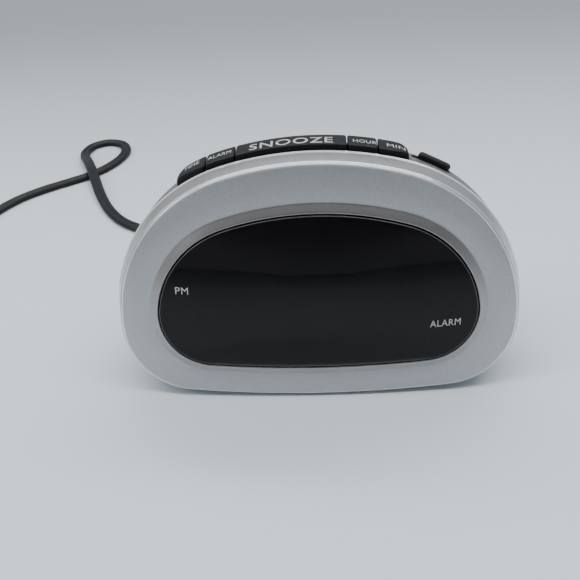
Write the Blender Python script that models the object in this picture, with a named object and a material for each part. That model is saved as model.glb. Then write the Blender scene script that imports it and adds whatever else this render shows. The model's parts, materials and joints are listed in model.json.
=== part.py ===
"""Mains LED alarm clock with its cord, one named object for each physical piece.

Metres, +Z up, front towards -Y, +X to the right of someone facing the clock.
The origin is the middle of the clock's footprint, on the surface it stands on.
"""

import math

import bmesh
import bpy
from mathutils import Matrix, Vector

MM = 0.001
GAP = 0.3 * MM                      # between pieces that touch

# Face: leans back, bows gently from side to side
LEAN = math.radians(11.0)
FACE_BOW_RADIUS = 740 * MM
FACE_Y = -23.6 * MM                 # middle of the lens's widest line
FACE_Z = 33.3 * MM

# Outlines of tangent arcs from bottom middle to top middle: radii of the bottom,
# corner and shoulder arcs, headings in degrees where they end, lowest point.
# The top arc's radius follows, because the outline closes on its middle line.
CREST = dict(radii=(632 * MM, 24.5 * MM, 55.1 * MM), ends=(4.3, 85.6, 163.7), low=-32.7 * MM)
LENS = dict(radii=(550 * MM, 18.6 * MM, 35.8 * MM), ends=(4.0, 97.5, 162.5), low=-20.3 * MM)

# Bezel
WALL_DEPTH = 7.9 * MM               # from crest to rear edge
WALL_FLARE = 2.0 * MM               # how much wider the rear edge is than the crest
WALL_THICK = 2.1 * MM
BAND_WIDTH = 3.6 * MM               # sloping band around the lens
RIM_HEIGHT = 2.4 * MM               # how proud of the face that band ends
LENS_SLIT = 0.4 * MM
LENS_BULGE = 4.2 * MM
LENS_THICK = 1.8 * MM
LENS_FLANGE = 2.2 * MM
POST_AT = 62.5 * MM                 # board posts, left and right of the lens
BOARD_DEPTH = 12.0 * MM             # board's front behind the face

# Case and cover
CASE_STEP = 1.0 * MM                # case set in from the bezel's rear edge
CASE_WALL = 2.2 * MM
BASE_Z = 3.4 * MM                   # flat underside
SCREW_X = 30.3 * MM                 # case screws, left and right
SCREW_Z = 9.0 * MM
DOOR_Y = FACE_Y + 20.4 * MM         # middle of the battery bay and its door
SEAM_Y = FACE_Y + 30.0 * MM
REAR_Y = FACE_Y + 54.0 * MM
CASE_STATIONS = ((24.0 * MM, 0.997), (28.0 * MM, 0.992), (30.0 * MM, 0.985))
COVER_STATIONS = ((30.3 * MM, 0.984), (34.0 * MM, 0.960), (38.0 * MM, 0.928), (42.0 * MM, 0.885),
                  (46.0 * MM, 0.828), (49.5 * MM, 0.765), (52.2 * MM, 0.705), (53.6 * MM, 0.662),
                  (54.0 * MM, 0.640))

# Buttons across the top: name, left end, right end
BUTTONS = (("time_button", -47.0 * MM, -36.6 * MM), ("alarm_button", -36.2 * MM, -26.3 * MM),
           ("snooze_button", -25.9 * MM, 11.2 * MM), ("hour_button", 11.6 * MM, 21.4 * MM),
           ("minute_button", 21.8 * MM, 32.0 * MM))
BUTTON_REAR_Y = FACE_Y + 27.0 * MM
BUTTON_PROUD = 2.4 * MM
BUTTON_LIP = 5.2 * MM               # how deep the retaining lip sits
KEY_BOARD_TOP = 62.0 * MM
KEY_Y = FACE_Y + 23.5 * MM

# Alarm slide switch
SLIDER_X = 41.2 * MM
SLIDER_Y = FACE_Y + 26.2 * MM
SLIDER_LENGTH = 11.6 * MM
SLIDER_TRAVEL = 2.0 * MM            # up the slope, towards the buttons

# Cord
CORD_THICK = 2.8 * MM               # a flat twin cord, 5.6 mm wide, lying flat
CORD_EXIT = Vector((-31.0 * MM, REAR_Y, 20.5 * MM))
RELIEF_LENGTH = 22.9 * MM
COIL_CENTRE = Vector((-205.0 * MM, 75.0 * MM, 0.0))
COIL_RADII = (25.9 * MM, 31.5 * MM)
COIL_TOP = 8.8 * MM
PLUG_REAR = Vector((-172.5 * MM, 14.0 * MM, 7.0 * MM))


# ---------------------------------------------------------------- basics

def clear_scene():
    for obj in list(bpy.data.objects):
        bpy.data.objects.remove(obj, do_unlink=True)


def make_material(name, colour, roughness, metallic=0.0):
    mat = bpy.data.materials.new(name)
    mat.use_nodes = True
    shader = mat.node_tree.nodes["Principled BSDF"]
    shader.inputs["Base Color"].default_value = (*colour, 1.0)
    shader.inputs["Roughness"].default_value = roughness
    shader.inputs["Metallic"].default_value = metallic
    mat.diffuse_color = (*colour, 1.0)
    return mat


def add_piece(name, bm, mat, sharp=32.0):
    """One object from a bmesh, smooth except at edges sharper than the angle."""
    bmesh.ops.recalc_face_normals(bm, faces=bm.faces)
    mesh = bpy.data.meshes.new(name)
    bm.to_mesh(mesh)
    bm.free()
    mesh.shade_smooth()
    mesh.set_sharp_from_angle(angle=math.radians(sharp))
    mesh.materials.append(mat)
    obj = bpy.data.objects.new(name, mesh)
    bpy.context.scene.collection.objects.link(obj)
    return obj


def as_tool(obj):
    """Marks an object as a cutter or filler for a Boolean."""
    obj.hide_render = True
    obj.display_type = "WIRE"
    return obj


def combine(obj, tool, operation, solver="EXACT"):
    modifier = obj.modifiers.new(tool.name, "BOOLEAN")
    modifier.operation = operation
    modifier.solver = solver
    modifier.object = as_tool(tool)


def skin(bm, loops, ring=False):
    """Adds bands of quads between loops of equal length; returns their rows of vertices."""
    rows = [[bm.verts.new(p) for p in loop] for loop in loops]
    count = len(rows[0])
    pairs = list(zip(rows, rows[1:]))
    if ring:
        pairs.append((rows[-1], rows[0]))
    for a, b in pairs:
        for i in range(count):
            j = (i + 1) % count
            bm.faces.new((a[i], a[j], b[j], b[i]))
    return rows


def loft(loops, ring=False):
    """Skins loops of equal length; a ring joins the last to the first, else the ends are capped."""
    bm = bmesh.new()
    rows = skin(bm, loops, ring)
    if not ring:
        bm.faces.new(rows[0][::-1])
        bm.faces.new(rows[-1])
    return bm


def domed_loft(loops, first_middle, last_middle):
    """Skins loops of equal length and closes both ends with fans around middle points."""
    bm = bmesh.new()
    rows = skin(bm, loops)
    for row, centre in ((rows[0], first_middle), (rows[-1], last_middle)):
        middle = bm.verts.new(centre)
        for i, vert in enumerate(row):
            bm.faces.new((vert, row[(i + 1) % len(row)], middle))
    return bm


def turned(profile, segments=24, ring=False):
    """A solid turned about Z from (radius, height) pairs; a zero radius closes on the axis."""
    bm = bmesh.new()
    rows = []
    for radius, height in profile:
        if radius == 0.0:
            rows.append([bm.verts.new((0.0, 0.0, height))])
            continue
        rows.append([bm.verts.new((radius * math.cos(a), radius * math.sin(a), height))
                     for a in (math.tau * k / segments for k in range(segments))])
    pairs = list(zip(rows, rows[1:]))
    if ring:
        pairs.append((rows[-1], rows[0]))
    for a, b in pairs:
        for i in range(segments):
            j = (i + 1) % segments
            quad = [a[i % len(a)], a[j % len(a)], b[j % len(b)], b[i % len(b)]]
            bm.faces.new(list(dict.fromkeys(quad)))
    return bm


def block(size, bevel=0.0):
    """A box centred on the origin, its edges rounded by two segments."""
    bm = bmesh.new()
    bmesh.ops.create_cube(bm, size=1.0)
    bmesh.ops.scale(bm, vec=size, verts=bm.verts)
    if bevel:
        bmesh.ops.bevel(bm, geom=bm.edges[:], offset=bevel, segments=2, profile=0.5,
                        affect="EDGES", clamp_overlap=True)
    return bm


def prism(points, low, high):
    """An outline of (x, y) points extruded along Z."""
    return loft([[Vector((x, y, low)) for x, y in points], [Vector((x, y, high)) for x, y in points]])


TO_Y = Matrix.Rotation(math.radians(-90.0), 4, "X")        # turns +Z to +Y
FLIP = Matrix.Rotation(math.radians(180.0), 4, "X")


def face_place(u, v, w):
    """Placement on the face, +Z of the piece pointing out of it towards the viewer."""
    return Matrix.Translation(face_point(u, v, w, bow=False)) @ Matrix.Rotation(
        math.radians(90.0) - LEAN, 4, "X")


# ---------------------------------------------------------------- outlines

def headings():
    """Headings of the right half, bottom to top: fine along the long flat arcs."""
    steps = [0.0, 1.6, 3.2, 4.8]
    steps += [4.8 + 7.2 * k for k in range(1, 23)]
    steps += [166.8, 171.2, 175.6, 180.0]
    return [math.radians(s) for s in steps]


def half_outline(radii, ends, low, offset=0.0):
    """Right half as (x, z, normal x, normal z), for the outline grown by an offset."""
    turns = [math.radians(e) for e in ends]
    starts = [0.0] + turns
    run = sum(r * (math.sin(b) - math.sin(a)) for r, a, b in zip(radii, starts, turns))
    all_radii = list(radii) + [run / math.sin(turns[-1])]
    stops = turns + [math.pi]
    points = []
    for heading in headings():
        x, z = 0.0, low
        for radius, a, b in zip(all_radii, starts, stops):
            c = min(max(heading, a), b)
            x += radius * (math.sin(c) - math.sin(a))
            z += radius * (math.cos(a) - math.cos(c))
        nx, nz = math.sin(heading), -math.cos(heading)
        points.append((x + offset * nx, z + offset * nz, nx, nz))
    return points


def outline(shape, offset=0.0):
    """The whole outline, anticlockwise from the bottom middle as seen from the front."""
    right = half_outline(offset=offset, **shape)
    left = [(-x, z, -nx, nz) for x, z, nx, nz in right[-2:0:-1]]
    return right + left


def face_point(u, v, w, bow=True):
    """World point from u across, v up along the leaning face and w behind it."""
    depth = w + (u * u / (2 * FACE_BOW_RADIUS) if bow else 0.0)
    return Vector((u, FACE_Y + v * math.sin(LEAN) + depth * math.cos(LEAN),
                   FACE_Z + v * math.cos(LEAN) - depth * math.sin(LEAN)))


def face_loop(shape, offset, w):
    return [face_point(x, z, w, True) for x, z, nx, nz in outline(shape, offset)]


def wall_loop(share, inset=0.0):
    """A loop on the bezel's side wall, from crest (0) to rear edge (1).

    The wall runs square to the face at the top and level at the bottom, where it stops flaring.
    """
    points = []
    for x, z, nx, nz in outline(CREST):
        flare = WALL_FLARE * min(1.0, max(0.1, 1.15 + 1.05 * nz))
        grow = flare * share ** 0.8 - inset
        lean = LEAN * (0.5 + 0.5 * nz)
        base = face_point(x + grow * nx, z + grow * nz, 0.0)
        back = Vector((0.0, math.cos(lean), -math.sin(lean)))
        points.append(base + back * (WALL_DEPTH * share))
    return points


def mixed_loop(offset_lens, share, w):
    """Between the lens outline grown by an offset (share 0) and the crest (share 1)."""
    inner = outline(LENS, offset_lens)
    outer = outline(CREST)
    return [face_point(a[0] + (b[0] - a[0]) * share, a[1] + (b[1] - a[1]) * share, w)
            for a, b in zip(inner, outer)]


def case_loop(y, scale, inset=0.0):
    """An upright section of the case at a depth, its underside kept flat."""
    points = []
    for edge, (_, _, nx, nz) in zip(wall_loop(1.0), outline(CREST)):
        grow = -(CASE_STEP + inset)
        x = (edge.x + grow * nx) * scale
        z = BASE_Z + (edge.z + grow * nz - BASE_Z) * scale
        points.append(Vector((x, y, max(z, BASE_Z + inset))))
    return points


def case_front_loop(inset=0.0):
    """The case's front edge, just behind the bezel's leaning rear edge."""
    return [Vector((p.x, edge.y + GAP, p.z))
            for p, edge in zip(case_loop(0.0, 1.0, inset), wall_loop(1.0))]


def edge_at(x):
    """Point on the upper half of the bezel's rear edge at a place across the clock."""
    upper = sorted((p for p in wall_loop(1.0) if p.z > FACE_Z), key=lambda p: p.x)
    for a, b in zip(upper, upper[1:]):
        if a.x <= x <= b.x:
            return a.lerp(b, (x - a.x) / (b.x - a.x))
    return upper[0]


# ---------------------------------------------------------------- housing

def build_bezel(mat):
    loops = [
        wall_loop(1.0, 0.25 * MM), wall_loop(0.965), wall_loop(0.6), wall_loop(0.25),
        wall_loop(0.06), mixed_loop(BAND_WIDTH, 0.97, 0.02 * MM),
        mixed_loop(BAND_WIDTH, 0.80, -0.35 * MM), mixed_loop(BAND_WIDTH, 0.45, -0.70 * MM),
        mixed_loop(BAND_WIDTH, 0.10, -0.50 * MM), face_loop(LENS, BAND_WIDTH - 0.2 * MM, -0.45 * MM),
        face_loop(LENS, 0.95 * MM, -RIM_HEIGHT + 0.1 * MM), face_loop(LENS, 0.6 * MM, -RIM_HEIGHT),
        face_loop(LENS, LENS_SLIT, -RIM_HEIGHT + 0.15 * MM), face_loop(LENS, LENS_SLIT, 0.3 * MM),
        face_loop(LENS, LENS_FLANGE + 0.6 * MM, 0.3 * MM),
        face_loop(LENS, LENS_FLANGE + 0.6 * MM, 2.2 * MM),
        mixed_loop(BAND_WIDTH, 0.15, 2.3 * MM), mixed_loop(BAND_WIDTH, 0.72, 2.3 * MM),
        wall_loop(0.55, WALL_THICK), wall_loop(0.97, WALL_THICK),
    ]
    bezel = add_piece("front_bezel", loft(loops, ring=True), mat)
    for side in (-1, 1):
        post = add_piece(f"bezel_post_{side}", turned(
            [(0.0, 0.0), (2.7 * MM, 0.0), (2.7 * MM, 10.0 * MM), (0.0, 10.0 * MM)], 16), mat)
        post.matrix_world = face_place(side * POST_AT, 0.0, 11.5 * MM)
        combine(bezel, post, "UNION")
        pilot = add_piece(f"post_pilot_{side}", turned(
            [(0.0, 0.0), (1.2 * MM, 0.0), (1.2 * MM, 8.0 * MM), (0.0, 8.0 * MM)], 12), mat)
        pilot.matrix_world = face_place(side * POST_AT, 0.0, 12.0 * MM)
        combine(bezel, pilot, "DIFFERENCE")


def lens_loop(share, w_edge, thick=0.0):
    """A loop of the lens's domed surface, a share of the way from its middle to its edge."""
    middle = 0.5 * (LENS["low"] + max(p[1] for p in outline(LENS)))
    w = w_edge - LENS_BULGE * (1.0 - share * share) + thick
    return [face_point(x * share, middle + (z - middle) * share, w) for x, z, _, _ in outline(LENS)]


def build_lens(mat):
    edge = -RIM_HEIGHT
    shares = (0.985, 0.94, 0.85, 0.70, 0.50, 0.28)
    loops = [lens_loop(s, edge - 0.1 * MM) for s in reversed(shares)]
    loops += [face_loop(LENS, 0.0, edge + 0.35 * MM), face_loop(LENS, 0.0, 0.6 * MM),
              face_loop(LENS, LENS_FLANGE, 0.6 * MM), face_loop(LENS, LENS_FLANGE, 1.9 * MM),
              face_loop(LENS, -1.8 * MM, 1.9 * MM)]
    loops += [lens_loop(s, edge - 0.1 * MM, LENS_THICK) for s in (0.93, 0.85, 0.70, 0.50, 0.28)]
    middle = 0.5 * (LENS["low"] + max(p[1] for p in outline(LENS)))
    top_w = edge - 0.1 * MM - LENS_BULGE
    bm = domed_loft(loops, face_point(0.0, middle, top_w), face_point(0.0, middle, top_w + LENS_THICK))
    add_piece("display_lens", bm, mat)


def build_case(mat):
    outer = [case_front_loop()] + [case_loop(FACE_Y + y, s) for y, s in CASE_STATIONS]
    inner = [case_front_loop(CASE_WALL)] + [
        case_loop(FACE_Y + y, s, CASE_WALL) for y, s in CASE_STATIONS]
    case = add_piece("main_case", loft(outer + inner[::-1], ring=True), mat)
    cut_button_bay(case, mat)
    cut_slider_slot(case, mat)
    door_hole = add_piece("door_hole", block((50.4 * MM, 28.6 * MM, 8.0 * MM)), mat)
    door_hole.location = (0.0, DOOR_Y, BASE_Z + 1.0 * MM)
    combine(case, door_hole, "DIFFERENCE")
    for side in (-1, 1):
        boss = add_piece(f"case_boss_{side}", turned(
            [(0.0, 0.0), (3.8 * MM, 0.0), (3.8 * MM, 11.5 * MM), (0.0, 11.5 * MM)], 16), mat)
        boss.matrix_world = Matrix.Translation((side * SCREW_X, SEAM_Y - 12.0 * MM, SCREW_Z)) @ TO_Y
        combine(case, boss, "UNION")
        pilot = add_piece(f"boss_pilot_{side}", turned(
            [(0.0, 0.0), (1.4 * MM, 0.0), (1.4 * MM, 11.0 * MM), (0.0, 11.0 * MM)], 12), mat)
        pilot.matrix_world = Matrix.Translation((side * SCREW_X, SEAM_Y - 10.5 * MM, SCREW_Z)) @ TO_Y
        combine(case, pilot, "DIFFERENCE")


def cut_button_bay(case, mat):
    """The bay that the five buttons rise through, open towards the bezel."""
    left, right = BUTTONS[0][1] - 0.4 * MM, BUTTONS[-1][2] + 0.4 * MM
    front, rear = FACE_Y + 8.0 * MM, BUTTON_REAR_Y + 0.4 * MM
    radius = 3.6 * MM
    points = [(left, front), (right, front)]
    for centre_x, start in ((right - radius, 0.0), (left + radius, 90.0)):
        points += [(centre_x + radius * math.cos(math.radians(a)),
                    rear - radius + radius * math.sin(math.radians(a)))
                   for a in (start + 18.0 * k for k in range(6))]
    bay = add_piece("button_bay", prism(points, 66.0 * MM, 95.0 * MM), mat)
    combine(case, bay, "DIFFERENCE")


def slider_frame():
    """Placement on the case's top at the slide switch: +X along its slot, +Z outwards."""
    a, b = edge_at(SLIDER_X - 5.0 * MM), edge_at(SLIDER_X + 5.0 * MM)
    slope = math.atan2(a.z - b.z, b.x - a.x)
    top = edge_at(SLIDER_X).z - CASE_STEP
    return Matrix.Translation((SLIDER_X, SLIDER_Y, top)) @ Matrix.Rotation(slope, 4, "Y")


def cut_slider_slot(case, mat):
    length = SLIDER_LENGTH + SLIDER_TRAVEL + 1.0 * MM
    slot = add_piece("slider_slot", block((length, 1.7 * MM, 12.0 * MM)), mat)
    slot.matrix_world = slider_frame() @ Matrix.Translation((-0.5 * SLIDER_TRAVEL, 0.0, -2.0 * MM))
    combine(case, slot, "DIFFERENCE")


def build_cover(mat):
    outer = [case_loop(FACE_Y + y, s) for y, s in COVER_STATIONS]
    depth_in = [(min(y, 51.8 * MM), s) for y, s in COVER_STATIONS[:7]]
    inner = [case_loop(FACE_Y + y, s, CASE_WALL) for y, s in depth_in]
    panel_z = 22.0 * MM
    bm = domed_loft(inner[::-1] + outer, Vector((0.0, inner[-1][0].y, panel_z)),
                    Vector((0.0, REAR_Y, panel_z)))
    cover = add_piece("rear_cover", bm, mat)
    for side in (-1, 1):
        boss = add_piece(f"cover_boss_{side}", turned(
            [(0.0, 0.0), (4.5 * MM, 0.0), (4.5 * MM, 22.0 * MM), (0.0, 22.0 * MM)], 18), mat)
        boss.matrix_world = Matrix.Translation((side * SCREW_X, SEAM_Y + 0.7 * MM, SCREW_Z)) @ TO_Y
        combine(cover, boss, "UNION", "MANIFOLD")
        for label, radius, start in (("bore", 3.3 * MM, 4.0 * MM), ("clearance", 1.9 * MM, -1.0 * MM)):
            hole = add_piece(f"cover_{label}_{side}", turned(
                [(0.0, 0.0), (radius, 0.0), (radius, 30.0 * MM), (0.0, 30.0 * MM)], 16), mat)
            hole.matrix_world = Matrix.Translation(
                (side * SCREW_X, SEAM_Y + start, SCREW_Z)) @ TO_Y
            combine(cover, hole, "DIFFERENCE", "MANIFOLD")
    cord_hole = add_piece("cord_hole", turned(
        [(0.0, 0.0), (4.3 * MM, 0.0), (4.3 * MM, 8.0 * MM), (0.0, 8.0 * MM)], 20), mat)
    cord_hole.matrix_world = Matrix.Translation(CORD_EXIT - Vector((0.0, 5.0 * MM, 0.0))) @ TO_Y
    combine(cover, cord_hole, "DIFFERENCE", "MANIFOLD")
    for row in range(5):
        slot = add_piece(f"sound_slot_{row}", block((18.0 * MM, 8.0 * MM, 1.6 * MM)), mat)
        slot.location = (12.0 * MM, REAR_Y - 1.0 * MM, (24.0 + 3.6 * row) * MM)
        combine(cover, slot, "DIFFERENCE", "MANIFOLD")


def build_base_pieces(plastic, rubber):
    door = add_piece("battery_door", block((54.0 * MM, 31.0 * MM, 1.5 * MM), 0.4 * MM), plastic)
    door.location = (0.0, DOOR_Y, BASE_Z - GAP - 0.75 * MM)
    for name, x, y in (("foot_front_left", -37.0, 8.5), ("foot_front_right", 37.0, 8.5),
                       ("foot_rear_left", -36.0, 40.0), ("foot_rear_right", 36.0, 40.0)):
        height = BASE_Z - GAP
        foot = add_piece(name, turned([(0.0, 0.0), (4.0 * MM, 0.0), (4.4 * MM, 0.5 * MM),
                                       (4.6 * MM, height), (0.0, height)], 20), rubber)
        foot.location = (x * MM, FACE_Y + y * MM, 0.0)


# ---------------------------------------------------------------- buttons

def button_bm(left, right, round_left, round_right):
    """A key bar under its own stretch of the arched top, with a retaining lip below."""
    corner = 4.0 * MM
    count = max(3, round((right - left) / (4.0 * MM)))
    xs = [left + (right - left) * k / count for k in range(count + 1)]
    if round_left:
        xs = [left, left + 0.5 * MM, left + 1.4 * MM] + [x for x in xs if x > left + 2.4 * MM]
    if round_right:
        xs = [x for x in xs if x < right - 2.4 * MM] + [right - 1.4 * MM, right - 0.5 * MM, right]
    loops = []
    for x in xs:
        edge = edge_at(x)
        front, rear = edge.y + 0.5 * MM, BUTTON_REAR_Y
        proud = BUTTON_PROUD
        reach = 10.0 * MM
        if round_left:
            reach = min(reach, x - left)
        if round_right:
            reach = min(reach, right - x)
        if reach < corner:
            bite = corner - math.sqrt(corner ** 2 - (corner - reach) ** 2)
            rear -= bite
            proud -= 0.22 * bite
        lip_rear = BUTTON_REAR_Y + 1.0 * MM
        lip_front = edge.y - 0.9 * MM
        low, lip = -BUTTON_LIP - 1.0 * MM, -BUTTON_LIP
        section = ((lip_front, low), (lip_front, lip), (front, lip), (front, proud - 0.35 * MM),
                   (front + 0.35 * MM, proud), (0.5 * (front + rear), proud + 0.1 * MM),
                   (rear - 0.9 * MM, proud - 0.15 * MM), (rear, proud - 0.9 * MM), (rear, lip),
                   (lip_rear, lip), (lip_rear, low))
        loops.append([Vector((x, y, edge.z + z)) for y, z in section])
    return loft(loops)


def build_buttons(dark):
    for index, (name, left, right) in enumerate(BUTTONS):
        middle = 0.5 * (left + right)
        origin = Vector((middle, KEY_Y, edge_at(middle).z))
        bm = button_bm(left, right, index == 0, index == len(BUTTONS) - 1)
        bmesh.ops.translate(bm, vec=-origin, verts=bm.verts)
        button = add_piece(name, bm, dark)
        button.location = origin
        post_low = KEY_BOARD_TOP + 5.6 * MM
        post_high = origin.z - BUTTON_LIP - 0.6 * MM
        post = add_piece(name + "_post", turned(
            [(0.0, post_low), (1.6 * MM, post_low), (1.6 * MM, post_high), (0.0, post_high)], 12), dark)
        post.location = (middle, KEY_Y, 0.0)
        combine(button, post, "UNION")


def build_slider(dark):
    frame = slider_frame()
    half, radius = SLIDER_LENGTH / 2, 1.7 * MM
    ring = [(half - radius + radius * math.cos(a), radius * math.sin(a))
            for a in (math.radians(-90.0 + 30.0 * k) for k in range(7))]
    ring += [(-x, -y) for x, y in ring]
    heights = ((0.25 * MM, 1.0), (1.6 * MM, 0.97), (2.1 * MM, 0.80), (2.3 * MM, 0.5))
    cap = loft([[Vector((x * (0.7 + 0.3 * s) if s < 1 else x, y * s, h)) for x, y in ring]
                for h, s in heights])
    knob = add_piece("alarm_slider_knob", cap, dark)
    knob.matrix_world = frame
    stem = add_piece("slider_stem", block((5.0 * MM, 1.1 * MM, 4.6 * MM)), dark)
    stem.matrix_world = frame @ Matrix.Translation((0.0, 0.0, -1.5 * MM))
    combine(knob, stem, "UNION")


# ---------------------------------------------------------------- electronics

def build_key_board(board, part, actuator):
    key_board = add_piece("key_board", block((86.0 * MM, 8.0 * MM, 1.6 * MM)), board)
    key_board.location = (-8.0 * MM, KEY_Y, KEY_BOARD_TOP - 0.8 * MM)
    for name, left, right in BUTTONS:
        label = name.replace("_button", "")
        middle = 0.5 * (left + right)
        body = add_piece(f"{label}_switch", block((6.0 * MM, 6.0 * MM, 3.4 * MM)), part)
        body.location = (middle, KEY_Y, KEY_BOARD_TOP + GAP + 1.7 * MM)
        bore = add_piece(f"{label}_switch_bore", turned(
            [(0.0, 0.0), (2.0 * MM, 0.0), (2.0 * MM, 4.0 * MM), (0.0, 4.0 * MM)], 12), part)
        bore.location = (middle, KEY_Y, KEY_BOARD_TOP + 2.0 * MM)
        combine(body, bore, "DIFFERENCE")
        plunger = add_piece(f"{label}_plunger", turned(
            [(0.0, 0.0), (1.7 * MM, 0.0), (1.7 * MM, 2.1 * MM), (0.0, 2.1 * MM)], 12), actuator)
        plunger.location = (middle, KEY_Y, KEY_BOARD_TOP + 3.2 * MM)


def build_slide_switch(part):
    body = add_piece("slide_switch_body", block((11.0 * MM, 5.0 * MM, 4.0 * MM)), part)
    body.matrix_world = slider_frame() @ Matrix.Translation((-0.6 * MM, 0.0, -6.4 * MM))


def build_main_board(board, dark, clear, metal):
    outline_points = [(-66, -5), (66, -5), (66, 5), (56, 12), (50, 24), (38, 36),
                      (-38, 36), (-50, 24), (-56, 12), (-66, 5)]
    main = add_piece("main_board", prism([(x * MM, y * MM) for x, y in outline_points],
                                         -1.6 * MM, 0.0), board)
    main.matrix_world = face_place(0.0, 0.0, BOARD_DEPTH)
    for side in (-1, 1):
        hole = add_piece(f"board_hole_{side}", turned(
            [(0.0, 0.0), (1.5 * MM, 0.0), (1.5 * MM, 6.0 * MM), (0.0, 6.0 * MM)], 12), board)
        hole.matrix_world = face_place(side * POST_AT, 0.0, BOARD_DEPTH + 4.0 * MM)
        combine(main, hole, "DIFFERENCE")
        name = "board_screw_left" if side < 0 else "board_screw_right"
        screw = add_piece(name, screw_bm(0.9 * MM, 6.4 * MM, 2.4 * MM), metal)
        screw.matrix_world = face_place(side * POST_AT, 0.0, BOARD_DEPTH + 1.6 * MM + GAP) @ FLIP
    display = add_piece("led_display", block((66.0 * MM, 26.0 * MM, 6.6 * MM), 0.5 * MM), dark)
    display.matrix_world = face_place(0.0, 8.0 * MM, BOARD_DEPTH - GAP - 3.3 * MM)
    screen = add_piece("display_filter", block((62.0 * MM, 22.0 * MM, 0.8 * MM), 0.2 * MM), clear)
    screen.matrix_world = face_place(0.0, 8.0 * MM, BOARD_DEPTH - 2 * GAP - 7.0 * MM)
    chip = add_piece("clock_chip", block((36.0 * MM, 13.0 * MM, 3.8 * MM), 0.4 * MM), dark)
    chip.matrix_world = face_place(8.0 * MM, 10.0 * MM, BOARD_DEPTH + 1.6 * MM + GAP + 1.9 * MM)
    can = add_piece("smoothing_capacitor", turned(
        [(0.0, 0.0), (4.6 * MM, 0.0), (5.0 * MM, 0.4 * MM), (5.0 * MM, 15.6 * MM),
         (4.6 * MM, 16.0 * MM), (0.0, 16.0 * MM)], 20), metal)
    can.matrix_world = face_place(-22.0 * MM, 8.0 * MM, BOARD_DEPTH + 1.6 * MM + GAP + 16.0 * MM)


def screw_bm(radius, length, head_radius):
    """A pan-head screw: its head stands on z = 0 and its shank points down -Z."""
    return turned([(0.0, -length), (radius * 0.6, -length), (radius, -length + 0.8 * MM), (radius, 0.0),
                   (head_radius, 0.0), (head_radius, 0.9 * MM), (head_radius * 0.8, 1.5 * MM),
                   (head_radius * 0.35, 1.7 * MM), (0.0, 1.2 * MM)], 14)


def build_power(metal, copper, dark):
    centre = Vector((-45.0 * MM, FACE_Y + 33.0 * MM, 28.0 * MM))
    core = add_piece("transformer_core", block((30.0 * MM, 12.0 * MM, 25.0 * MM)), metal)
    core.location = centre
    for side in (-1, 1):
        window = add_piece(f"core_window_{side}", block((5.0 * MM, 20.0 * MM, 15.0 * MM)), metal)
        window.location = centre + Vector((side * 7.5 * MM, 0.0, 0.0))
        combine(core, window, "DIFFERENCE")
    winding_outer = [(-9.7, -9.4), (9.7, -9.4), (9.7, 9.4), (-9.7, 9.4)]
    winding_inner = [(-5.3, -6.3), (5.3, -6.3), (5.3, 6.3), (-5.3, 6.3)]
    loops = [[Vector((x * MM, y * MM, z)) for x, y in corners]
             for corners, z in ((winding_outer, -7.2 * MM), (winding_outer, 7.2 * MM),
                                (winding_inner, 7.2 * MM), (winding_inner, -7.2 * MM))]
    winding = add_piece("transformer_winding", loft(loops, ring=True), copper)
    winding.location = centre
    buzzer = add_piece("buzzer", turned(
        [(0.0, 0.0), (10.6 * MM, 0.0), (11.0 * MM, 0.4 * MM), (11.0 * MM, 5.6 * MM),
         (10.6 * MM, 6.0 * MM), (1.2 * MM, 6.0 * MM), (1.2 * MM, 5.0 * MM), (0.0, 5.0 * MM)], 24), dark)
    buzzer.matrix_world = Matrix.Translation((12.0 * MM, FACE_Y + 45.4 * MM, 32.0 * MM)) @ TO_Y
    battery = add_piece("backup_battery", block((48.0 * MM, 26.0 * MM, 17.0 * MM), 0.8 * MM), dark)
    battery.location = (0.0, DOOR_Y, BASE_Z + CASE_WALL + 0.6 * MM + 8.5 * MM)
    snap = add_piece("battery_snap", block((2.4 * MM, 24.0 * MM, 8.0 * MM), 0.4 * MM), dark)
    snap.location = (-25.6 * MM, DOOR_Y, battery.location.z + 3.0 * MM)
    for side, name in ((-1, "case_screw_left"), (1, "case_screw_right")):
        screw = add_piece(name, screw_bm(1.1 * MM, 12.0 * MM, 2.8 * MM), metal)
        screw.matrix_world = Matrix.Translation(
            (side * SCREW_X, SEAM_Y + 4.0 * MM + GAP, SCREW_Z)) @ TO_Y


def build_ribbon(grey):
    """The flat cable from the key board down to the main board."""
    half = 6.0 * MM
    loops = []
    for y, z in ((20.4, 50.0), (20.4, 56.0), (21.6, 58.9), (23.5, 59.8)):
        loops.append([Vector((x, FACE_Y + (y + t) * MM, (z - 0.6 * t) * MM))
                      for x, t in ((-half, 0.0), (half, 0.0), (half, 0.9), (-half, 0.9))])
    add_piece("ribbon_cable", loft(loops), grey)


# ---------------------------------------------------------------- cord

# From the strain relief across the table: out and down, a small loop over itself,
# then left to the coil. The first strand humps over the second where they cross.
ROUTE = (
    (-31.0, 53.6, 20.5), (-31.4, 58.0, 20.0), (-33.2, 64.0, 17.6), (-37.0, 70.5, 12.8),
    (-43.5, 76.5, 7.2), (-52.5, 81.5, 3.2), (-63.0, 85.0, 1.6), (-74.0, 88.0, 1.4),
    (-86.0, 92.5, 1.4), (-97.5, 101.0, 1.4), (-106.5, 113.0, 1.5), (-113.5, 127.0, 2.1),
    (-119.0, 140.5, 3.6), (-124.0, 153.5, 4.8), (-128.8, 165.5, 3.9), (-133.2, 176.0, 2.2),
    (-134.6, 184.5, 1.5), (-131.6, 192.6, 1.4), (-123.8, 196.8, 1.4), (-115.2, 193.6, 1.4),
    (-111.2, 185.0, 1.4), (-112.4, 174.6, 1.4), (-117.4, 164.0, 1.4), (-125.0, 154.6, 1.4),
    (-135.0, 147.0, 1.4), (-146.0, 139.4, 1.4), (-156.5, 130.0, 1.4), (-164.5, 118.5, 1.4),
    (-169.6, 106.0, 1.4), (-172.4, 96.0, 1.5), (-173.3, 92.6, 1.5),
)
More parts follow.
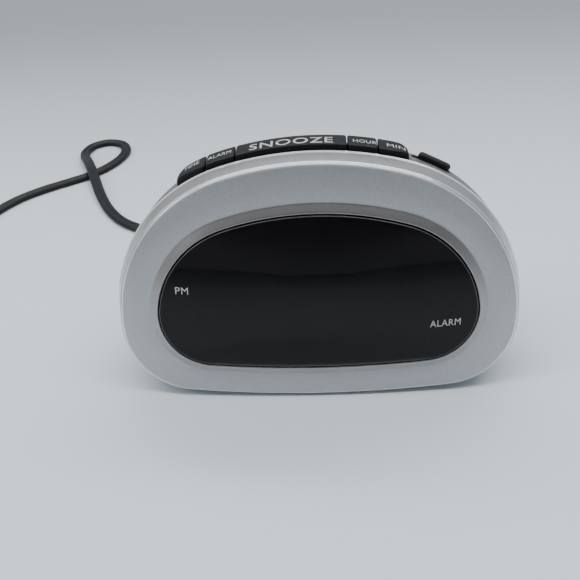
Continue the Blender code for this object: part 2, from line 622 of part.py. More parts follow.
TAIL = ((-173.5, 57.0, 7.0), (-173.2, 50.0, 5.6), (-172.8, 43.0, 4.0), (-172.5, 36.0, 3.9),
        (-172.5, 29.0, 5.4), (-172.5, 22.0, 6.8), (-172.5, 15.6, 7.0))


def smooth_route(points, spacing):
    """Even points along a Catmull-Rom curve through the route's own points."""
    raw = [Vector(p) * MM for p in points]
    ends = [raw[0] * 2 - raw[1]] + raw + [raw[-1] * 2 - raw[-2]]
    dense = []
    for a, b, c, d in zip(ends, ends[1:], ends[2:], ends[3:]):
        for k in range(12):
            t = k / 12
            dense.append(0.5 * (2 * b + (c - a) * t + (2 * a - 5 * b + 4 * c - d) * t ** 2
                                + (3 * b - a - 3 * c + d) * t ** 3))
    dense.append(raw[-1])
    lengths = [0.0]
    for a, b in zip(dense, dense[1:]):
        lengths.append(lengths[-1] + (b - a).length)
    count = round(lengths[-1] / spacing)
    result, k = [], 0
    for step in range(count + 1):
        target = lengths[-1] * step / count
        while k < len(lengths) - 2 and lengths[k + 1] < target:
            k += 1
        span = lengths[k + 1] - lengths[k]
        result.append(dense[k].lerp(dense[k + 1], (target - lengths[k]) / span))
    return result


def build_tube(name, points, spacing, mat):
    curve = bpy.data.curves.new(name, "CURVE")
    curve.dimensions = "3D"
    curve.bevel_depth = CORD_THICK / 2
    curve.bevel_resolution = 2
    curve.use_fill_caps = True
    route = smooth_route(points, spacing)
    spline = curve.splines.new("POLY")
    spline.points.add(len(route) - 1)
    for place, co in zip(spline.points, route):
        place.co = (*co, 1.0)
    curve.materials.append(mat)
    tube = bpy.data.objects.new(name, curve)
    bpy.context.scene.collection.objects.link(tube)
    return tube


def build_cord(cord, brass):
    relief = add_piece("strain_relief", turned(
        [(0.0, -3.6 * MM), (5.2 * MM, -3.6 * MM), (5.2 * MM, -2.6 * MM), (3.9 * MM, -2.6 * MM),
         (3.9 * MM, 0.3 * MM), (5.4 * MM, 0.3 * MM), (5.4 * MM, 1.6 * MM), (4.6 * MM, 2.4 * MM),
         (3.5 * MM, RELIEF_LENGTH), (0.0, RELIEF_LENGTH)], 20), cord)
    relief.matrix_world = Matrix.Translation(CORD_EXIT) @ TO_Y
    build_tube("power_cord", ROUTE, 6.0 * MM, cord)
    build_tube("cord_tail", TAIL, 6.0 * MM, cord)
    inner, outer = COIL_RADII[0] - CORD_THICK, COIL_RADII[1] + CORD_THICK
    coil = add_piece("cord_coil", turned(
        [(outer, COIL_TOP - 1.0 * MM), (outer - 1.0 * MM, COIL_TOP), (inner + 1.0 * MM, COIL_TOP),
         (inner, COIL_TOP - 1.0 * MM), (inner, 1.0 * MM), (inner + 1.0 * MM, 0.0),
         (outer - 1.0 * MM, 0.0), (outer, 1.0 * MM)], 48, ring=True), cord)
    coil.location = COIL_CENTRE
    build_coil_tie(cord, inner, outer)
    build_plug(cord, brass)


def build_coil_tie(dark, inner, outer):
    """A strap over the coil, its legs down to the table on both sides."""
    half, thick = 0.5 * (outer - inner) + 0.4 * MM, 1.2 * MM
    profile = [(-half - thick, 0.2 * MM), (-half - thick, COIL_TOP + 1.6 * MM),
               (half + thick, COIL_TOP + 1.6 * MM), (half + thick, 0.2 * MM), (half, 0.2 * MM),
               (half, COIL_TOP + 0.4 * MM), (-half, COIL_TOP + 0.4 * MM), (-half, 0.2 * MM)]
    loops = [[Vector((x, y, z)) for x, z in profile] for y in (-2.5 * MM, 2.5 * MM)]
    tie = add_piece("coil_tie", loft(loops), dark)
    tie.location = COIL_CENTRE + Vector((-0.5 * (inner + outer), 0.0, 0.0))


def build_plug(dark, brass):
    """A two-blade plug lying flat, its blades pointing forward."""
    sections = ((0.0, 3.6, 2.9), (4.0, 4.4, 3.6), (9.0, 7.0, 5.2), (14.0, 9.6, 6.4), (27.0, 10.4, 6.8),
                (28.5, 9.8, 6.2))
    loops = []
    for along, half_width, half_height in sections:
        corners = [(half_width * math.copysign(abs(math.cos(a)) ** 0.5, math.cos(a)),
                    half_height * math.copysign(abs(math.sin(a)) ** 0.5, math.sin(a)))
                   for a in (math.tau * (k + 0.5) / 20 for k in range(20))]
        loops.append([Vector((x * MM, -along * MM, z * MM)) for x, z in corners])
    plug = add_piece("plug_body", loft(loops), dark)
    plug.location = PLUG_REAR
    for side, name in ((-1, "plug_blade_left"), (1, "plug_blade_right")):
        blade = add_piece(name, block((1.5 * MM, 17.0 * MM, 6.3 * MM), 0.3 * MM), brass)
        blade.location = PLUG_REAR + Vector((side * 6.35 * MM, -37.3 * MM, 0.0))


# ---------------------------------------------------------------- main

def main():
    clear_scene()
    silver = make_material("silver_paint", (0.50, 0.51, 0.52), 0.32, 0.75)
    gloss = make_material("smoked_lens", (0.008, 0.008, 0.010), 0.06)
    button_black = make_material("button_black", (0.030, 0.034, 0.038), 0.38)
    rubber = make_material("foot_rubber", (0.02, 0.02, 0.02), 0.8)
    board = make_material("circuit_board", (0.10, 0.16, 0.06), 0.5)
    part = make_material("component_black", (0.02, 0.02, 0.022), 0.4)
    actuator = make_material("switch_actuator", (0.55, 0.53, 0.48), 0.5)
    steel = make_material("steel", (0.55, 0.55, 0.55), 0.3, 1.0)
    red = make_material("red_filter", (0.16, 0.01, 0.01), 0.2)
    copper = make_material("winding_tape", (0.62, 0.45, 0.10), 0.45)
    ribbon_grey = make_material("ribbon_grey", (0.45, 0.45, 0.46), 0.5)
    cord_black = make_material("cord_black", (0.018, 0.020, 0.022), 0.36)
    brass = make_material("blade_brass", (0.75, 0.62, 0.34), 0.3, 1.0)
    build_bezel(silver)
    build_lens(gloss)
    build_case(silver)
    build_cover(silver)
    build_base_pieces(silver, rubber)
    build_buttons(button_black)
    build_slider(button_black)
    build_key_board(board, part, actuator)
    build_slide_switch(part)
    build_main_board(board, part, red, steel)
    build_power(steel, copper, part)
    build_ribbon(ribbon_grey)
    build_cord(cord_black, brass)


main()
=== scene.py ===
"""Finished look of the digital alarm clock: fine surfaces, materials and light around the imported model.

Metres, +Z up, front towards -Y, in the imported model's own frame.
"""

import json
import math

import bmesh
import bpy
from mathutils import Matrix, Vector
from mathutils.bvhtree import BVHTree


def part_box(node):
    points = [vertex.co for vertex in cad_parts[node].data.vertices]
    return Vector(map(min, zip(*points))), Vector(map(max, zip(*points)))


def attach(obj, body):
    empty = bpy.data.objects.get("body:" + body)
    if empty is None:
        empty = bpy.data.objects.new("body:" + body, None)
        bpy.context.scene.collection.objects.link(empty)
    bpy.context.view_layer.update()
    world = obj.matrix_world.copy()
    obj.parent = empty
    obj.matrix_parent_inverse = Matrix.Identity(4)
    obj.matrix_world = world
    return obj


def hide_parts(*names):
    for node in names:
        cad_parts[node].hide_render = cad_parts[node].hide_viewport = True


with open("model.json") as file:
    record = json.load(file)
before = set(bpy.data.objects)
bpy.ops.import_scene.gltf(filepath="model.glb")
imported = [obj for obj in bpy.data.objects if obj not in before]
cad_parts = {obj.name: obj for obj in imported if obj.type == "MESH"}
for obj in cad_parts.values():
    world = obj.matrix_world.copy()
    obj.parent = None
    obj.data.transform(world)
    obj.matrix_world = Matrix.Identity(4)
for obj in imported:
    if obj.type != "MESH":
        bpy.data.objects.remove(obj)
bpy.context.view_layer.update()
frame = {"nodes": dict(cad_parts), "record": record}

MM = 0.001
GAP = 0.3 * MM                      # between the bezel's rear edge and the case

# Places taken from the frame
REAR_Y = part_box("rear_cover")[1][1]
BASE_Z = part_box("main_case")[0][2]
FACE_Y = REAR_Y - 54.0 * MM
FACE_Z = 33.3 * MM                  # height of the window's widest line
KEYS = ("time", "alarm", "snooze", "hour", "minute")
KEY_ENDS = {key: (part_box(key + "_button")[0][0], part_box(key + "_button")[1][0]) for key in KEYS}
KEY_REAR_Y = FACE_Y + 27.0 * MM

# Face and outlines, as the solids have them: arcs from bottom middle to top middle
LEAN = math.radians(11.0)
FACE_BOW_RADIUS = 740 * MM
CREST = dict(radii=(632 * MM, 24.5 * MM, 55.1 * MM), ends=(4.3, 85.6, 163.7), low=-32.7 * MM)
LENS = dict(radii=(550 * MM, 18.6 * MM, 35.8 * MM), ends=(4.0, 97.5, 162.5), low=-20.3 * MM)
OUTLINE_STEP = 1.3 * MM

# Camera, in degrees
CAMERA_LENS = 50.9                  # focal length on a 36 mm wide sensor
CAMERA_PITCH = 34.6                 # down from level
CAMERA_YAW = 3.0                    # turned left
CAMERA_ROLL = -3.26
CAMERA_PLACE = (2.9 * MM, FACE_Y - 230.5 * MM, FACE_Z + 168.9 * MM)

# Floor and room, in metres; a fade is (start, stop, value before, value after); the floor's fades are
# painted shade
FLOOR_HALF = 3.0
FLOOR_SHADE_FADES = ((-0.55, -0.10, 0.45, 1.0), (0.02, 0.46, 1.0, 0.40))
VIEWER_SIDE = (0.0, -0.72, 0.69)    # direction in which the room goes dark
ROOM_FADE = (0.70, 0.96, 0.52, 0.04)
ROOM_COLOUR = (0.90, 0.955, 1.0, 1.0)
LIGHTS = (                          # (name, place, aim, size, power)
    ("overhead_strip", (0.0, -0.12, 1.15), (0.0, 0.0, 0.03), (2.0, 0.26), 12.0),
    ("back_strip", (0.1, 0.72, 1.10), (0.0, 0.0, 0.06), (1.8, 0.20), 10.0),
    ("left_fill", (-1.2, -0.2, 0.8), (0.0, 0.0, 0.04), (0.5, 0.5), 3.5),
)

# Bezel, window and case
WALL_DEPTH = 7.9 * MM
WALL_FLARE = 2.0 * MM               # how much wider the bezel is at its rear edge
WALL_THICK = 2.1 * MM
BAND_WIDTH = 3.6 * MM               # width of the sloping rim around the window
RIM_HEIGHT = 2.4 * MM               # how far the window's edge stands before the face
BEZEL_BACK = 2.3 * MM               # depth of the bezel's inner face
LENS_BULGE = 4.2 * MM
LENS_THICK = 1.8 * MM
LENS_FLANGE = 2.2 * MM
CASE_STEP = 1.0 * MM                # from the bezel's rear edge in to the case
CASE_WALL = 2.2 * MM
SEAM = 30.0 * MM                    # depth of the seam behind the face
CASE_FULL = 22.0 * MM               # depth where the case's sections turn upright
CASE_TAPER = ((8.0, 1.0), (24.0, 0.997), (28.0, 0.992), (30.15, 0.9845), (34.0, 0.960), (38.0, 0.928),
              (42.0, 0.885), (46.0, 0.828), (49.5, 0.765), (52.2, 0.705), (53.6, 0.662), (54.0, 0.640))
DOOR_HOLE = (50.4 * MM, 28.6 * MM, 8.0 * MM)
DOOR_BACK = 20.4 * MM               # its middle's depth behind the face
DOOR_RIBS = 6
SCREW_X = 30.3 * MM
SCREW_Z = 9.0 * MM
SOUND_SLOTS = 5

# Keys, their bay and the slide switch
KEY_PROUD = 2.15 * MM               # a key's top, over the bezel's rear edge
KEY_LIP = -5.2 * MM                 # top and underside of its hidden lip
KEY_LOW = -6.2 * MM
KEY_SOFT = 0.5 * MM                 # rounding of its ends, and of the row's outer rear corners
KEY_CORNER = 4.0 * MM
BAY_SLACK = 0.4 * MM
BAY_CORNER = 3.6 * MM
BAY_HEIGHTS = (66.0 * MM, 95.0 * MM)
SLIDER_X = 41.2 * MM
SLIDER_Y = FACE_Y + 26.2 * MM
SLIDER_LENGTH = 12.2 * MM
SLIDER_WIDTH = 3.4 * MM
SLOT_LENGTH = 15.4 * MM
SLOT_WIDTH = 2.6 * MM
SLOT_SHIFT = -0.6 * MM

# Cord: flat twin lead, millimetres along its route
CORD_THICK = 2.8 * MM
CORD_EXIT = Vector((-31.0 * MM, REAR_Y, 20.5 * MM))
RELIEF_LENGTH = 22.9 * MM
ROUTE = (
    (-31.0, 48.0, 20.5), (-31.0, 53.6, 20.5), (-31.4, 58.0, 20.0), (-33.2, 64.0, 17.6),
    (-37.0, 70.5, 12.8), (-43.5, 76.5, 7.2), (-52.5, 81.5, 3.2), (-63.0, 85.0, 1.6),
    (-74.0, 88.0, 1.4), (-86.0, 92.5, 1.4), (-97.5, 101.0, 1.4), (-106.5, 113.0, 1.5),
    (-113.5, 127.0, 2.1), (-119.0, 140.5, 3.6), (-124.0, 153.5, 4.8), (-128.8, 165.5, 3.9),
    (-133.2, 176.0, 2.2), (-134.6, 184.5, 1.5), (-131.6, 192.6, 1.4), (-123.8, 196.8, 1.4),
    (-115.2, 193.6, 1.4), (-111.2, 185.0, 1.4), (-112.4, 174.6, 1.4), (-117.4, 164.0, 1.4),
    (-125.0, 154.6, 1.4), (-135.0, 147.0, 1.4), (-146.0, 139.4, 1.4), (-156.5, 130.0, 1.4),
    (-164.5, 118.5, 1.4), (-169.6, 106.0, 1.4), (-172.4, 96.0, 1.5), (-173.3, 85.0, 1.4),
)
TAIL = ((-173.5, 66.0, 7.2), (-173.5, 57.0, 7.0), (-173.2, 50.0, 5.6), (-172.8, 43.0, 4.0),
        (-172.5, 36.0, 3.9), (-172.5, 29.0, 5.4), (-172.5, 22.0, 6.8), (-172.5, 15.6, 7.0),
        (-172.5, 11.5, 7.0))
COIL_INNER = 25.9                   # radii of the two columns of turns
COIL_OUTER = 31.5
COIL_TURNS = ((COIL_OUTER, 1.4), (COIL_INNER, 1.4), (COIL_INNER, 4.3), (COIL_OUTER, 4.3),
              (COIL_INNER, 7.2), (COIL_OUTER, 7.2))
PLUG_REAR = Vector((-172.5 * MM, 14.0 * MM, 7.0 * MM))
PLUG_LENGTH = 28.5                  # millimetres

TO_Y = Matrix.Rotation(math.radians(-90.0), 4, "X")      # turns a shape's own Z towards the rear


# ---------------------------------------------------------------- camera, floor and light

def build_camera():
    data = bpy.data.cameras.new("camera")
    data.sensor_width = 36.0
    data.lens = CAMERA_LENS
    camera = bpy.data.objects.new("camera", data)
    bpy.context.scene.collection.objects.link(camera)
    turn = Matrix.Rotation(math.radians(CAMERA_YAW), 4, "Z")
    tilt = Matrix.Rotation(math.radians(90.0 - CAMERA_PITCH), 4, "X")
    roll = Matrix.Rotation(math.radians(CAMERA_ROLL), 4, "Z")
    camera.matrix_world = Matrix.Translation(CAMERA_PLACE) @ turn @ tilt @ roll
    bpy.context.scene.camera = camera


def build_stage():
    build_floor()
    build_room()
    for light in LIGHTS:
        add_light(*light)


def build_floor():
    """A pale floor, its colour darkened well in front of the clock and behind it: painted shade for the
    parts out of the light.
    """
    bm = bmesh.new()
    bmesh.ops.create_grid(bm, x_segments=8, y_segments=8, size=FLOOR_HALF)
    paper = procedural("floor_paper", (0.735, 0.795, 0.845), (0.75, 0.81, 0.86), (0.62, 0.70), scale=3.0,
                       bump=0.0)
    nodes, links = paper.node_tree.nodes, paper.node_tree.links
    along = component(paper, "Object", "Y")
    # Painted shade: the floor's colour is scaled down in front of the clock and behind it.
    both = nodes.new("ShaderNodeMath")
    both.operation = "MULTIPLY"
    for socket, values in zip(both.inputs, FLOOR_SHADE_FADES):
        fade = smooth_fade(nodes, *values)
        links.new(along, fade.inputs["Value"])
        links.new(fade.outputs["Result"], socket)
    scale_colour(paper, both.outputs["Value"])
    finish_mesh("floor", bm, paper)


def build_room():
    """Soft light from all round, but for the side where the viewer stands."""
    world = bpy.data.worlds.new("soft_room")
    bpy.context.scene.world = world
    world.use_nodes = True
    nodes, links = world.node_tree.nodes, world.node_tree.links
    coords = nodes.new("ShaderNodeTexCoord")
    towards = nodes.new("ShaderNodeVectorMath")
    towards.operation = "DOT_PRODUCT"
    towards.inputs[1].default_value = VIEWER_SIDE
    fade = smooth_fade(nodes, *ROOM_FADE)
    links.new(coords.outputs["Generated"], towards.inputs[0])
    links.new(towards.outputs["Value"], fade.inputs["Value"])
    links.new(fade.outputs["Result"], nodes["Background"].inputs["Strength"])
    nodes["Background"].inputs["Color"].default_value = ROOM_COLOUR


def add_light(name, at, towards, size, power):
    data = bpy.data.lights.new(name, "AREA")
    data.shape = "RECTANGLE"
    data.size, data.size_y = size
    data.energy = power
    light = bpy.data.objects.new(name, data)
    bpy.context.scene.collection.objects.link(light)
    light.location = at
    light.rotation_euler = (Vector(towards) - Vector(at)).to_track_quat("-Z", "Y").to_euler()


# ---------------------------------------------------------------- materials

def smooth_fade(nodes, start, stop, first, last):
    """A node that eases from a first to a last value while its input goes from start to stop."""
    fade = nodes.new("ShaderNodeMapRange")
    fade.interpolation_type = "SMOOTHSTEP"
    for socket, value in zip(("From Min", "From Max", "To Min", "To Max"), (start, stop, first, last)):
        fade.inputs[socket].default_value = value
    return fade


def component(mat, coordinates, axis):
    """Socket with one component of the material's own coordinates."""
    nodes = mat.node_tree.nodes
    split = nodes.new("ShaderNodeSeparateXYZ")
    coords = nodes.new("ShaderNodeTexCoord")
    mat.node_tree.links.new(coords.outputs[coordinates], split.inputs["Vector"])
    return split.outputs[axis]


def scale_colour(mat, factor):
    """Multiplies the material's colour by the value at a socket."""
    nodes, links = mat.node_tree.nodes, mat.node_tree.links
    shader = nodes["Principled BSDF"]
    colour = shader.inputs["Base Color"].links[0].from_socket
    scale = nodes.new("ShaderNodeVectorMath")
    scale.operation = "SCALE"
    links.new(colour, scale.inputs[0])
    links.new(factor, scale.inputs["Scale"])
    links.new(scale.outputs["Vector"], shader.inputs["Base Color"])


def paint_shade_facing_up(mat, least):
    """Painted shade: the colour goes darker where the surface faces up, down to a share of its own colour.
    """
    fade = smooth_fade(mat.node_tree.nodes, 0.15, 0.70, 1.0, least)
    mat.node_tree.links.new(component(mat, "Normal", "Z"), fade.inputs["Value"])
    scale_colour(mat, fade.outputs["Result"])


def noise(mat, scale, detail):
    """Socket with a noise in object space."""
    nodes, links = mat.node_tree.nodes, mat.node_tree.links
    coords = nodes.new("ShaderNodeTexCoord")
    texture = nodes.new("ShaderNodeTexNoise")
    texture.inputs["Scale"].default_value = scale
    texture.inputs["Detail"].default_value = detail
    links.new(coords.outputs["Object"], texture.inputs["Vector"])
    return texture.outputs["Fac"]


def procedural(name, dark, light, roughness, metallic=0.0, scale=600.0, detail=3.0, bump=0.02,
               bump_scale=None, specular=0.5, coat=0.0):
    """A surface whose colour, roughness and relief (bump, in millimetres) vary with noise."""
    mat = bpy.data.materials.new(name)
    mat.use_nodes = True
    nodes, links = mat.node_tree.nodes, mat.node_tree.links
    shader = nodes["Principled BSDF"]
    shader.inputs["Metallic"].default_value = metallic
    shader.inputs["Specular IOR Level"].default_value = specular
    shader.inputs["Coat Weight"].default_value = coat
    shader.inputs["Coat Roughness"].default_value = 0.07
    mix = nodes.new("ShaderNodeMix")
    mix.data_type = "RGBA"
    mix.inputs["A"].default_value = (*dark, 1.0)
    mix.inputs["B"].default_value = (*light, 1.0)
    links.new(noise(mat, scale, detail), mix.inputs["Factor"])
    links.new(mix.outputs["Result"], shader.inputs["Base Color"])
    span = nodes.new("ShaderNodeMapRange")
    span.inputs["From Min"].default_value = 0.3
    span.inputs["From Max"].default_value = 0.7
    span.inputs["To Min"].default_value = roughness[0]
    span.inputs["To Max"].default_value = roughness[1]
    links.new(noise(mat, scale * 0.13, 4.0), span.inputs["Value"])
    links.new(span.outputs["Result"], shader.inputs["Roughness"])
    if bump:
        relief = nodes.new("ShaderNodeBump")
        relief.inputs["Strength"].default_value = 1.0
        relief.inputs["Distance"].default_value = bump * MM
        links.new(noise(mat, bump_scale or scale, 2.0), relief.inputs["Height"])
        links.new(relief.outputs["Normal"], shader.inputs["Normal"])
    return mat


FINE_PAINT = dict(metallic=0.50, scale=2600.0, detail=1.0, bump=0.012, bump_scale=2300.0)

# Dark and light shade, roughness from and to, and what differs from the usual surface
FINISHES = {
    "silver_paint": ((0.31, 0.325, 0.34), (0.53, 0.55, 0.57), (0.32, 0.40), dict(FINE_PAINT, coat=0.7)),
    # The bezel's side wall: a slightly lighter copy of the silver paint, darkened where it faces up: painted
    # light and shade.
    "wall_shaded_paint": ((0.34, 0.355, 0.37), (0.56, 0.58, 0.60), (0.32, 0.40), dict(FINE_PAINT, coat=0.3)),
    # Near-white paint on the bezel's small edges: painted highlight, the bright lines along the crest and
    # the rear edge.
    "edge_highlight_paint": ((0.90, 0.91, 0.92), (0.98, 0.98, 0.99), (0.16, 0.24),
                   dict(metallic=0.55, scale=1400.0, bump=0.006, coat=0.5)),
    # A darker, pinkish copy of the silver paint for the rim round the window: painted shade and painted
    # reflection.
    "rim_shaded_paint": ((0.30, 0.295, 0.295), (0.48, 0.47, 0.47), (0.34, 0.42), FINE_PAINT),
    "case_paint": ((0.15, 0.162, 0.175), (0.26, 0.275, 0.29), (0.38, 0.48),
                   dict(metallic=0.50, scale=2300.0, detail=1.0, bump=0.02, bump_scale=1900.0)),
    "smoked_lens": ((0.004, 0.004, 0.005), (0.008, 0.007, 0.008), (0.05, 0.08),
                    dict(scale=90.0, bump=0.0, specular=0.20)),
    # A lighter grey for the window's rounded edge: painted highlight.
    "lens_edge_highlight": ((0.045, 0.047, 0.05), (0.09, 0.093, 0.097), (0.10, 0.20), dict(scale=300.0, bump=0.0)),
    "button_black": ((0.005, 0.006, 0.007), (0.013, 0.015, 0.017), (0.36, 0.46),
                     dict(scale=3800.0, bump=0.012, bump_scale=5200.0, specular=0.22)),
    "foot_rubber": ((0.010, 0.010, 0.011), (0.024, 0.024, 0.025), (0.70, 0.85),
                    dict(scale=1500.0, bump=0.03)),
    "circuit_board": ((0.07, 0.12, 0.04), (0.13, 0.20, 0.08), (0.35, 0.55), dict(scale=700.0)),
    "component_black": ((0.012, 0.012, 0.013), (0.028, 0.028, 0.030), (0.35, 0.50),
                        dict(scale=2200.0, bump=0.012)),
    "switch_actuator": ((0.48, 0.46, 0.41), (0.60, 0.58, 0.53), (0.40, 0.52),
                        dict(scale=1800.0, bump=0.008)),
    "steel": ((0.42, 0.42, 0.42), (0.62, 0.62, 0.62), (0.24, 0.42),
              dict(metallic=1.0, scale=2400.0, bump=0.008)),
    "red_filter": ((0.12, 0.006, 0.006), (0.20, 0.014, 0.014), (0.12, 0.22), dict(scale=400.0, bump=0.0)),
    "winding_tape": ((0.52, 0.36, 0.06), (0.70, 0.52, 0.14), (0.35, 0.50), dict(scale=900.0)),
    "ribbon_grey": ((0.36, 0.36, 0.37), (0.52, 0.52, 0.53), (0.42, 0.55), dict(scale=900.0)),
    "cord_black": ((0.005, 0.006, 0.007), (0.012, 0.014, 0.016), (0.36, 0.48),
                   dict(scale=1900.0, bump=0.012, bump_scale=900.0, specular=0.25)),
    "blade_brass": ((0.55, 0.47, 0.30), (0.74, 0.66, 0.46), (0.22, 0.38),
                    dict(metallic=1.0, scale=1400.0, bump=0.006)),
    "legend_print": ((0.46, 0.47, 0.48), (0.57, 0.58, 0.59), (0.45, 0.60), dict(scale=2500.0, bump=0.004)),
}


def make_materials():
    mats = {name: procedural(name, dark, light, roughness, **rest)
            for name, (dark, light, roughness, rest) in FINISHES.items()}
    # Painted shade: the rim and the side wall are darkened where they face up.
    paint_shade_facing_up(mats["rim_shaded_paint"], 0.36)
    paint_shade_facing_up(mats["wall_shaded_paint"], 0.72)
    return mats


# ---------------------------------------------------------------- mesh helpers

def finish_mesh(name, bm, mat, sharp=30.0):
    """One object from a bmesh, smooth except at edges sharper than the angle."""
    bmesh.ops.recalc_face_normals(bm, faces=bm.faces)
    mesh = bpy.data.meshes.new(name)
    bm.to_mesh(mesh)
    bm.free()
    mesh.shade_smooth()
    mesh.set_sharp_from_angle(angle=math.radians(sharp))
    mesh.materials.append(mat)
    obj = bpy.data.objects.new(name, mesh)
    bpy.context.scene.collection.objects.link(obj)
    return obj


def belongs(piece, body, slot, *nodes):
    """The piece rides on a body and stands for these nodes, which it hides; the slot is not used."""
    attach(piece, body)
    if nodes:
        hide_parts(*nodes)
    return piece


def skin(bm, loops, ring=False):
    """Adds bands of quads between loops of equal length; returns their rows of vertices."""
    rows = [[bm.verts.new(p) for p in loop] for loop in loops]
    count = len(rows[0])
    pairs = list(zip(rows, rows[1:]))
    if ring:
        pairs.append((rows[-1], rows[0]))
    for a, b in pairs:
        for i in range(count):
            j = (i + 1) % count
            bm.faces.new((a[i], a[j], b[j], b[i]))
    return rows


def loft(loops, ring=False):
    """Skins loops; a ring joins the last to the first, else flat faces close the ends."""
    bm = bmesh.new()
    rows = skin(bm, loops, ring)
    if not ring:
        bm.faces.new(rows[0][::-1])
        bm.faces.new(rows[-1])
    return bm


def domed_loft(loops, first_middle, last_middle):
    """Skins loops and closes both ends with fans around middle points."""
    bm = bmesh.new()
    rows = skin(bm, loops)
    for row, centre in ((rows[0], first_middle), (rows[-1], last_middle)):
        middle = bm.verts.new(centre)
        for i, vert in enumerate(row):
            bm.faces.new((vert, row[(i + 1) % len(row)], middle))
    return bm


def turned(profile, segments=48):
    """A solid turned about Z from (radius, height) pairs that start and end on the axis."""
    bm = bmesh.new()
    rows = []
    for radius, height in profile:
        if radius == 0.0:
            rows.append([bm.verts.new((0.0, 0.0, height))])
            continue
        rows.append([bm.verts.new((radius * math.cos(a), radius * math.sin(a), height))
                     for a in (math.tau * k / segments for k in range(segments))])
    for a, b in zip(rows, rows[1:]):
        for i in range(segments):
            j = (i + 1) % segments
            quad = [a[i % len(a)], a[j % len(a)], b[j % len(b)], b[i % len(b)]]
            bm.faces.new(list(dict.fromkeys(quad)))
    return bm


def block(size, bevel=0.0):
    """A box around the origin, its edges rounded where a bevel is given."""
    bm = bmesh.new()
    bmesh.ops.create_cube(bm, size=1.0)
    bmesh.ops.scale(bm, vec=size, verts=bm.verts)
    if bevel:
        bmesh.ops.bevel(bm, geom=bm.edges[:], offset=bevel, segments=3, profile=0.5, affect="EDGES",
                        clamp_overlap=True)
    return bm


def stadium(length, width):
    """Outline of a bar with round ends, as (x, y) pairs."""
    radius, count = width / 2, 12
    half = [(length / 2 - radius + radius * math.cos(a), radius * math.sin(a))
            for a in (math.radians(-90.0 + 180.0 * k / count) for k in range(count + 1))]
    return half + [(-x, -y) for x, y in half]


def moved(bm, matrix):
    """The same bmesh, carried to its place."""
    bmesh.ops.transform(bm, matrix=matrix, verts=bm.verts)
    return bm


def prism(points, low, high):
    """A solid between two heights from an outline of (x, y) pairs."""
    return loft([[Vector((x, y, z)) for x, y in points] for z in (low, high)])


def rod(radius, low, high, segments=40):
    """A solid cylinder about Z between two heights."""
    return turned([(0.0, low), (radius, low), (radius, high), (0.0, high)], segments)


def paint_rows(bm, across, finishes):
    """Gives each row of a skin's faces its material: one index a row, nought past the last."""
    for k, face in enumerate(bm.faces):
        row = k // across
        face.material_index = finishes[row] if row < len(finishes) else 0


def carve(obj, cutters, operation="DIFFERENCE", solver="EXACT"):
    """Applies Booleans with these bmeshes to the object's own mesh."""
    tools = []
    for cutter in cutters:
        tool = finish_mesh("cutter", cutter, obj.data.materials[0])
        modifier = obj.modifiers.new("carve", "BOOLEAN")
        modifier.operation = operation
        modifier.solver = solver
        modifier.object = tool
        tools.append(tool)
    bpy.context.view_layer.update()
    evaluated = obj.evaluated_get(bpy.context.evaluated_depsgraph_get())
    mesh = bpy.data.meshes.new_from_object(evaluated)
    obj.modifiers.clear()
    obj.data = mesh
    mesh.set_sharp_from_angle(angle=math.radians(30.0))
    for tool in tools:
        bpy.data.objects.remove(tool, do_unlink=True)


# ---------------------------------------------------------------- outlines

def arcs(shape):
    """(radius, first heading, last heading) of the right half's arcs; the last one ends on the middle."""
    stops = [math.radians(e) for e in shape["ends"]]
    starts = [0.0] + stops
    run = sum(r * (math.sin(b) - math.sin(a)) for r, a, b in zip(shape["radii"], starts, stops))
    radii = list(shape["radii"]) + [run / math.sin(stops[-1])]
    return list(zip(radii, starts, stops + [math.pi]))


def shared_headings():
    """Headings that divide both outlines evenly."""
    found = set()
    for shape in (CREST, LENS):
        for radius, start, stop in arcs(shape):
            count = max(2, math.ceil(radius * (stop - start) / OUTLINE_STEP))
            found.update(start + (stop - start) * k / count for k in range(count + 1))
    kept = [0.0]
    for heading in sorted(found):
        if heading - kept[-1] > 0.0012:
            kept.append(heading)
    kept[-1] = math.pi
    return kept


HEADINGS = shared_headings()


def outline(shape):
    """The whole outline, anticlockwise from the bottom middle: (x, z, normal x, normal z)."""
    right = []
    for heading in HEADINGS:
        x, z = 0.0, shape["low"]
        for radius, a, b in arcs(shape):
            c = min(max(heading, a), b)
            x += radius * (math.sin(c) - math.sin(a))
            z += radius * (math.cos(a) - math.cos(c))
        right.append((x, z, math.sin(heading), -math.cos(heading)))
    return right + [(-x, z, -nx, nz) for x, z, nx, nz in right[-2:0:-1]]


CREST_LINE = outline(CREST)
LENS_LINE = outline(LENS)
LENS_MIDDLE = 0.5 * (LENS["low"] + max(p[1] for p in LENS_LINE))


def face_point(u, v, w):
    """World point from u across, v up along the leaning, slightly bowed face and w behind it."""
    depth = w + u * u / (2 * FACE_BOW_RADIUS)
    return Vector((u, FACE_Y + v * math.sin(LEAN) + depth * math.cos(LEAN),
                   FACE_Z + v * math.cos(LEAN) - depth * math.sin(LEAN)))


def lens_offset_loop(offset, w):
    """The window's outline grown by an offset, at a depth behind the face."""
    return [face_point(x + offset * nx, z + offset * nz, w) for x, z, nx, nz in LENS_LINE]


def wall_loop(share, inset=0.0):
    """A loop on the bezel's side wall, from crest (0) to rear edge (1), its flare least underneath."""
    points = []
    for x, z, nx, nz in CREST_LINE:
        flare = WALL_FLARE * min(1.0, max(0.1, 1.15 + 1.05 * nz))
        grow = flare * share ** 0.8 - inset
        lean = LEAN * (0.5 + 0.5 * nz)
        back = Vector((0.0, math.cos(lean), -math.sin(lean)))
        points.append(face_point(x + grow * nx, z + grow * nz, 0.0) + back * (WALL_DEPTH * share))
    return points


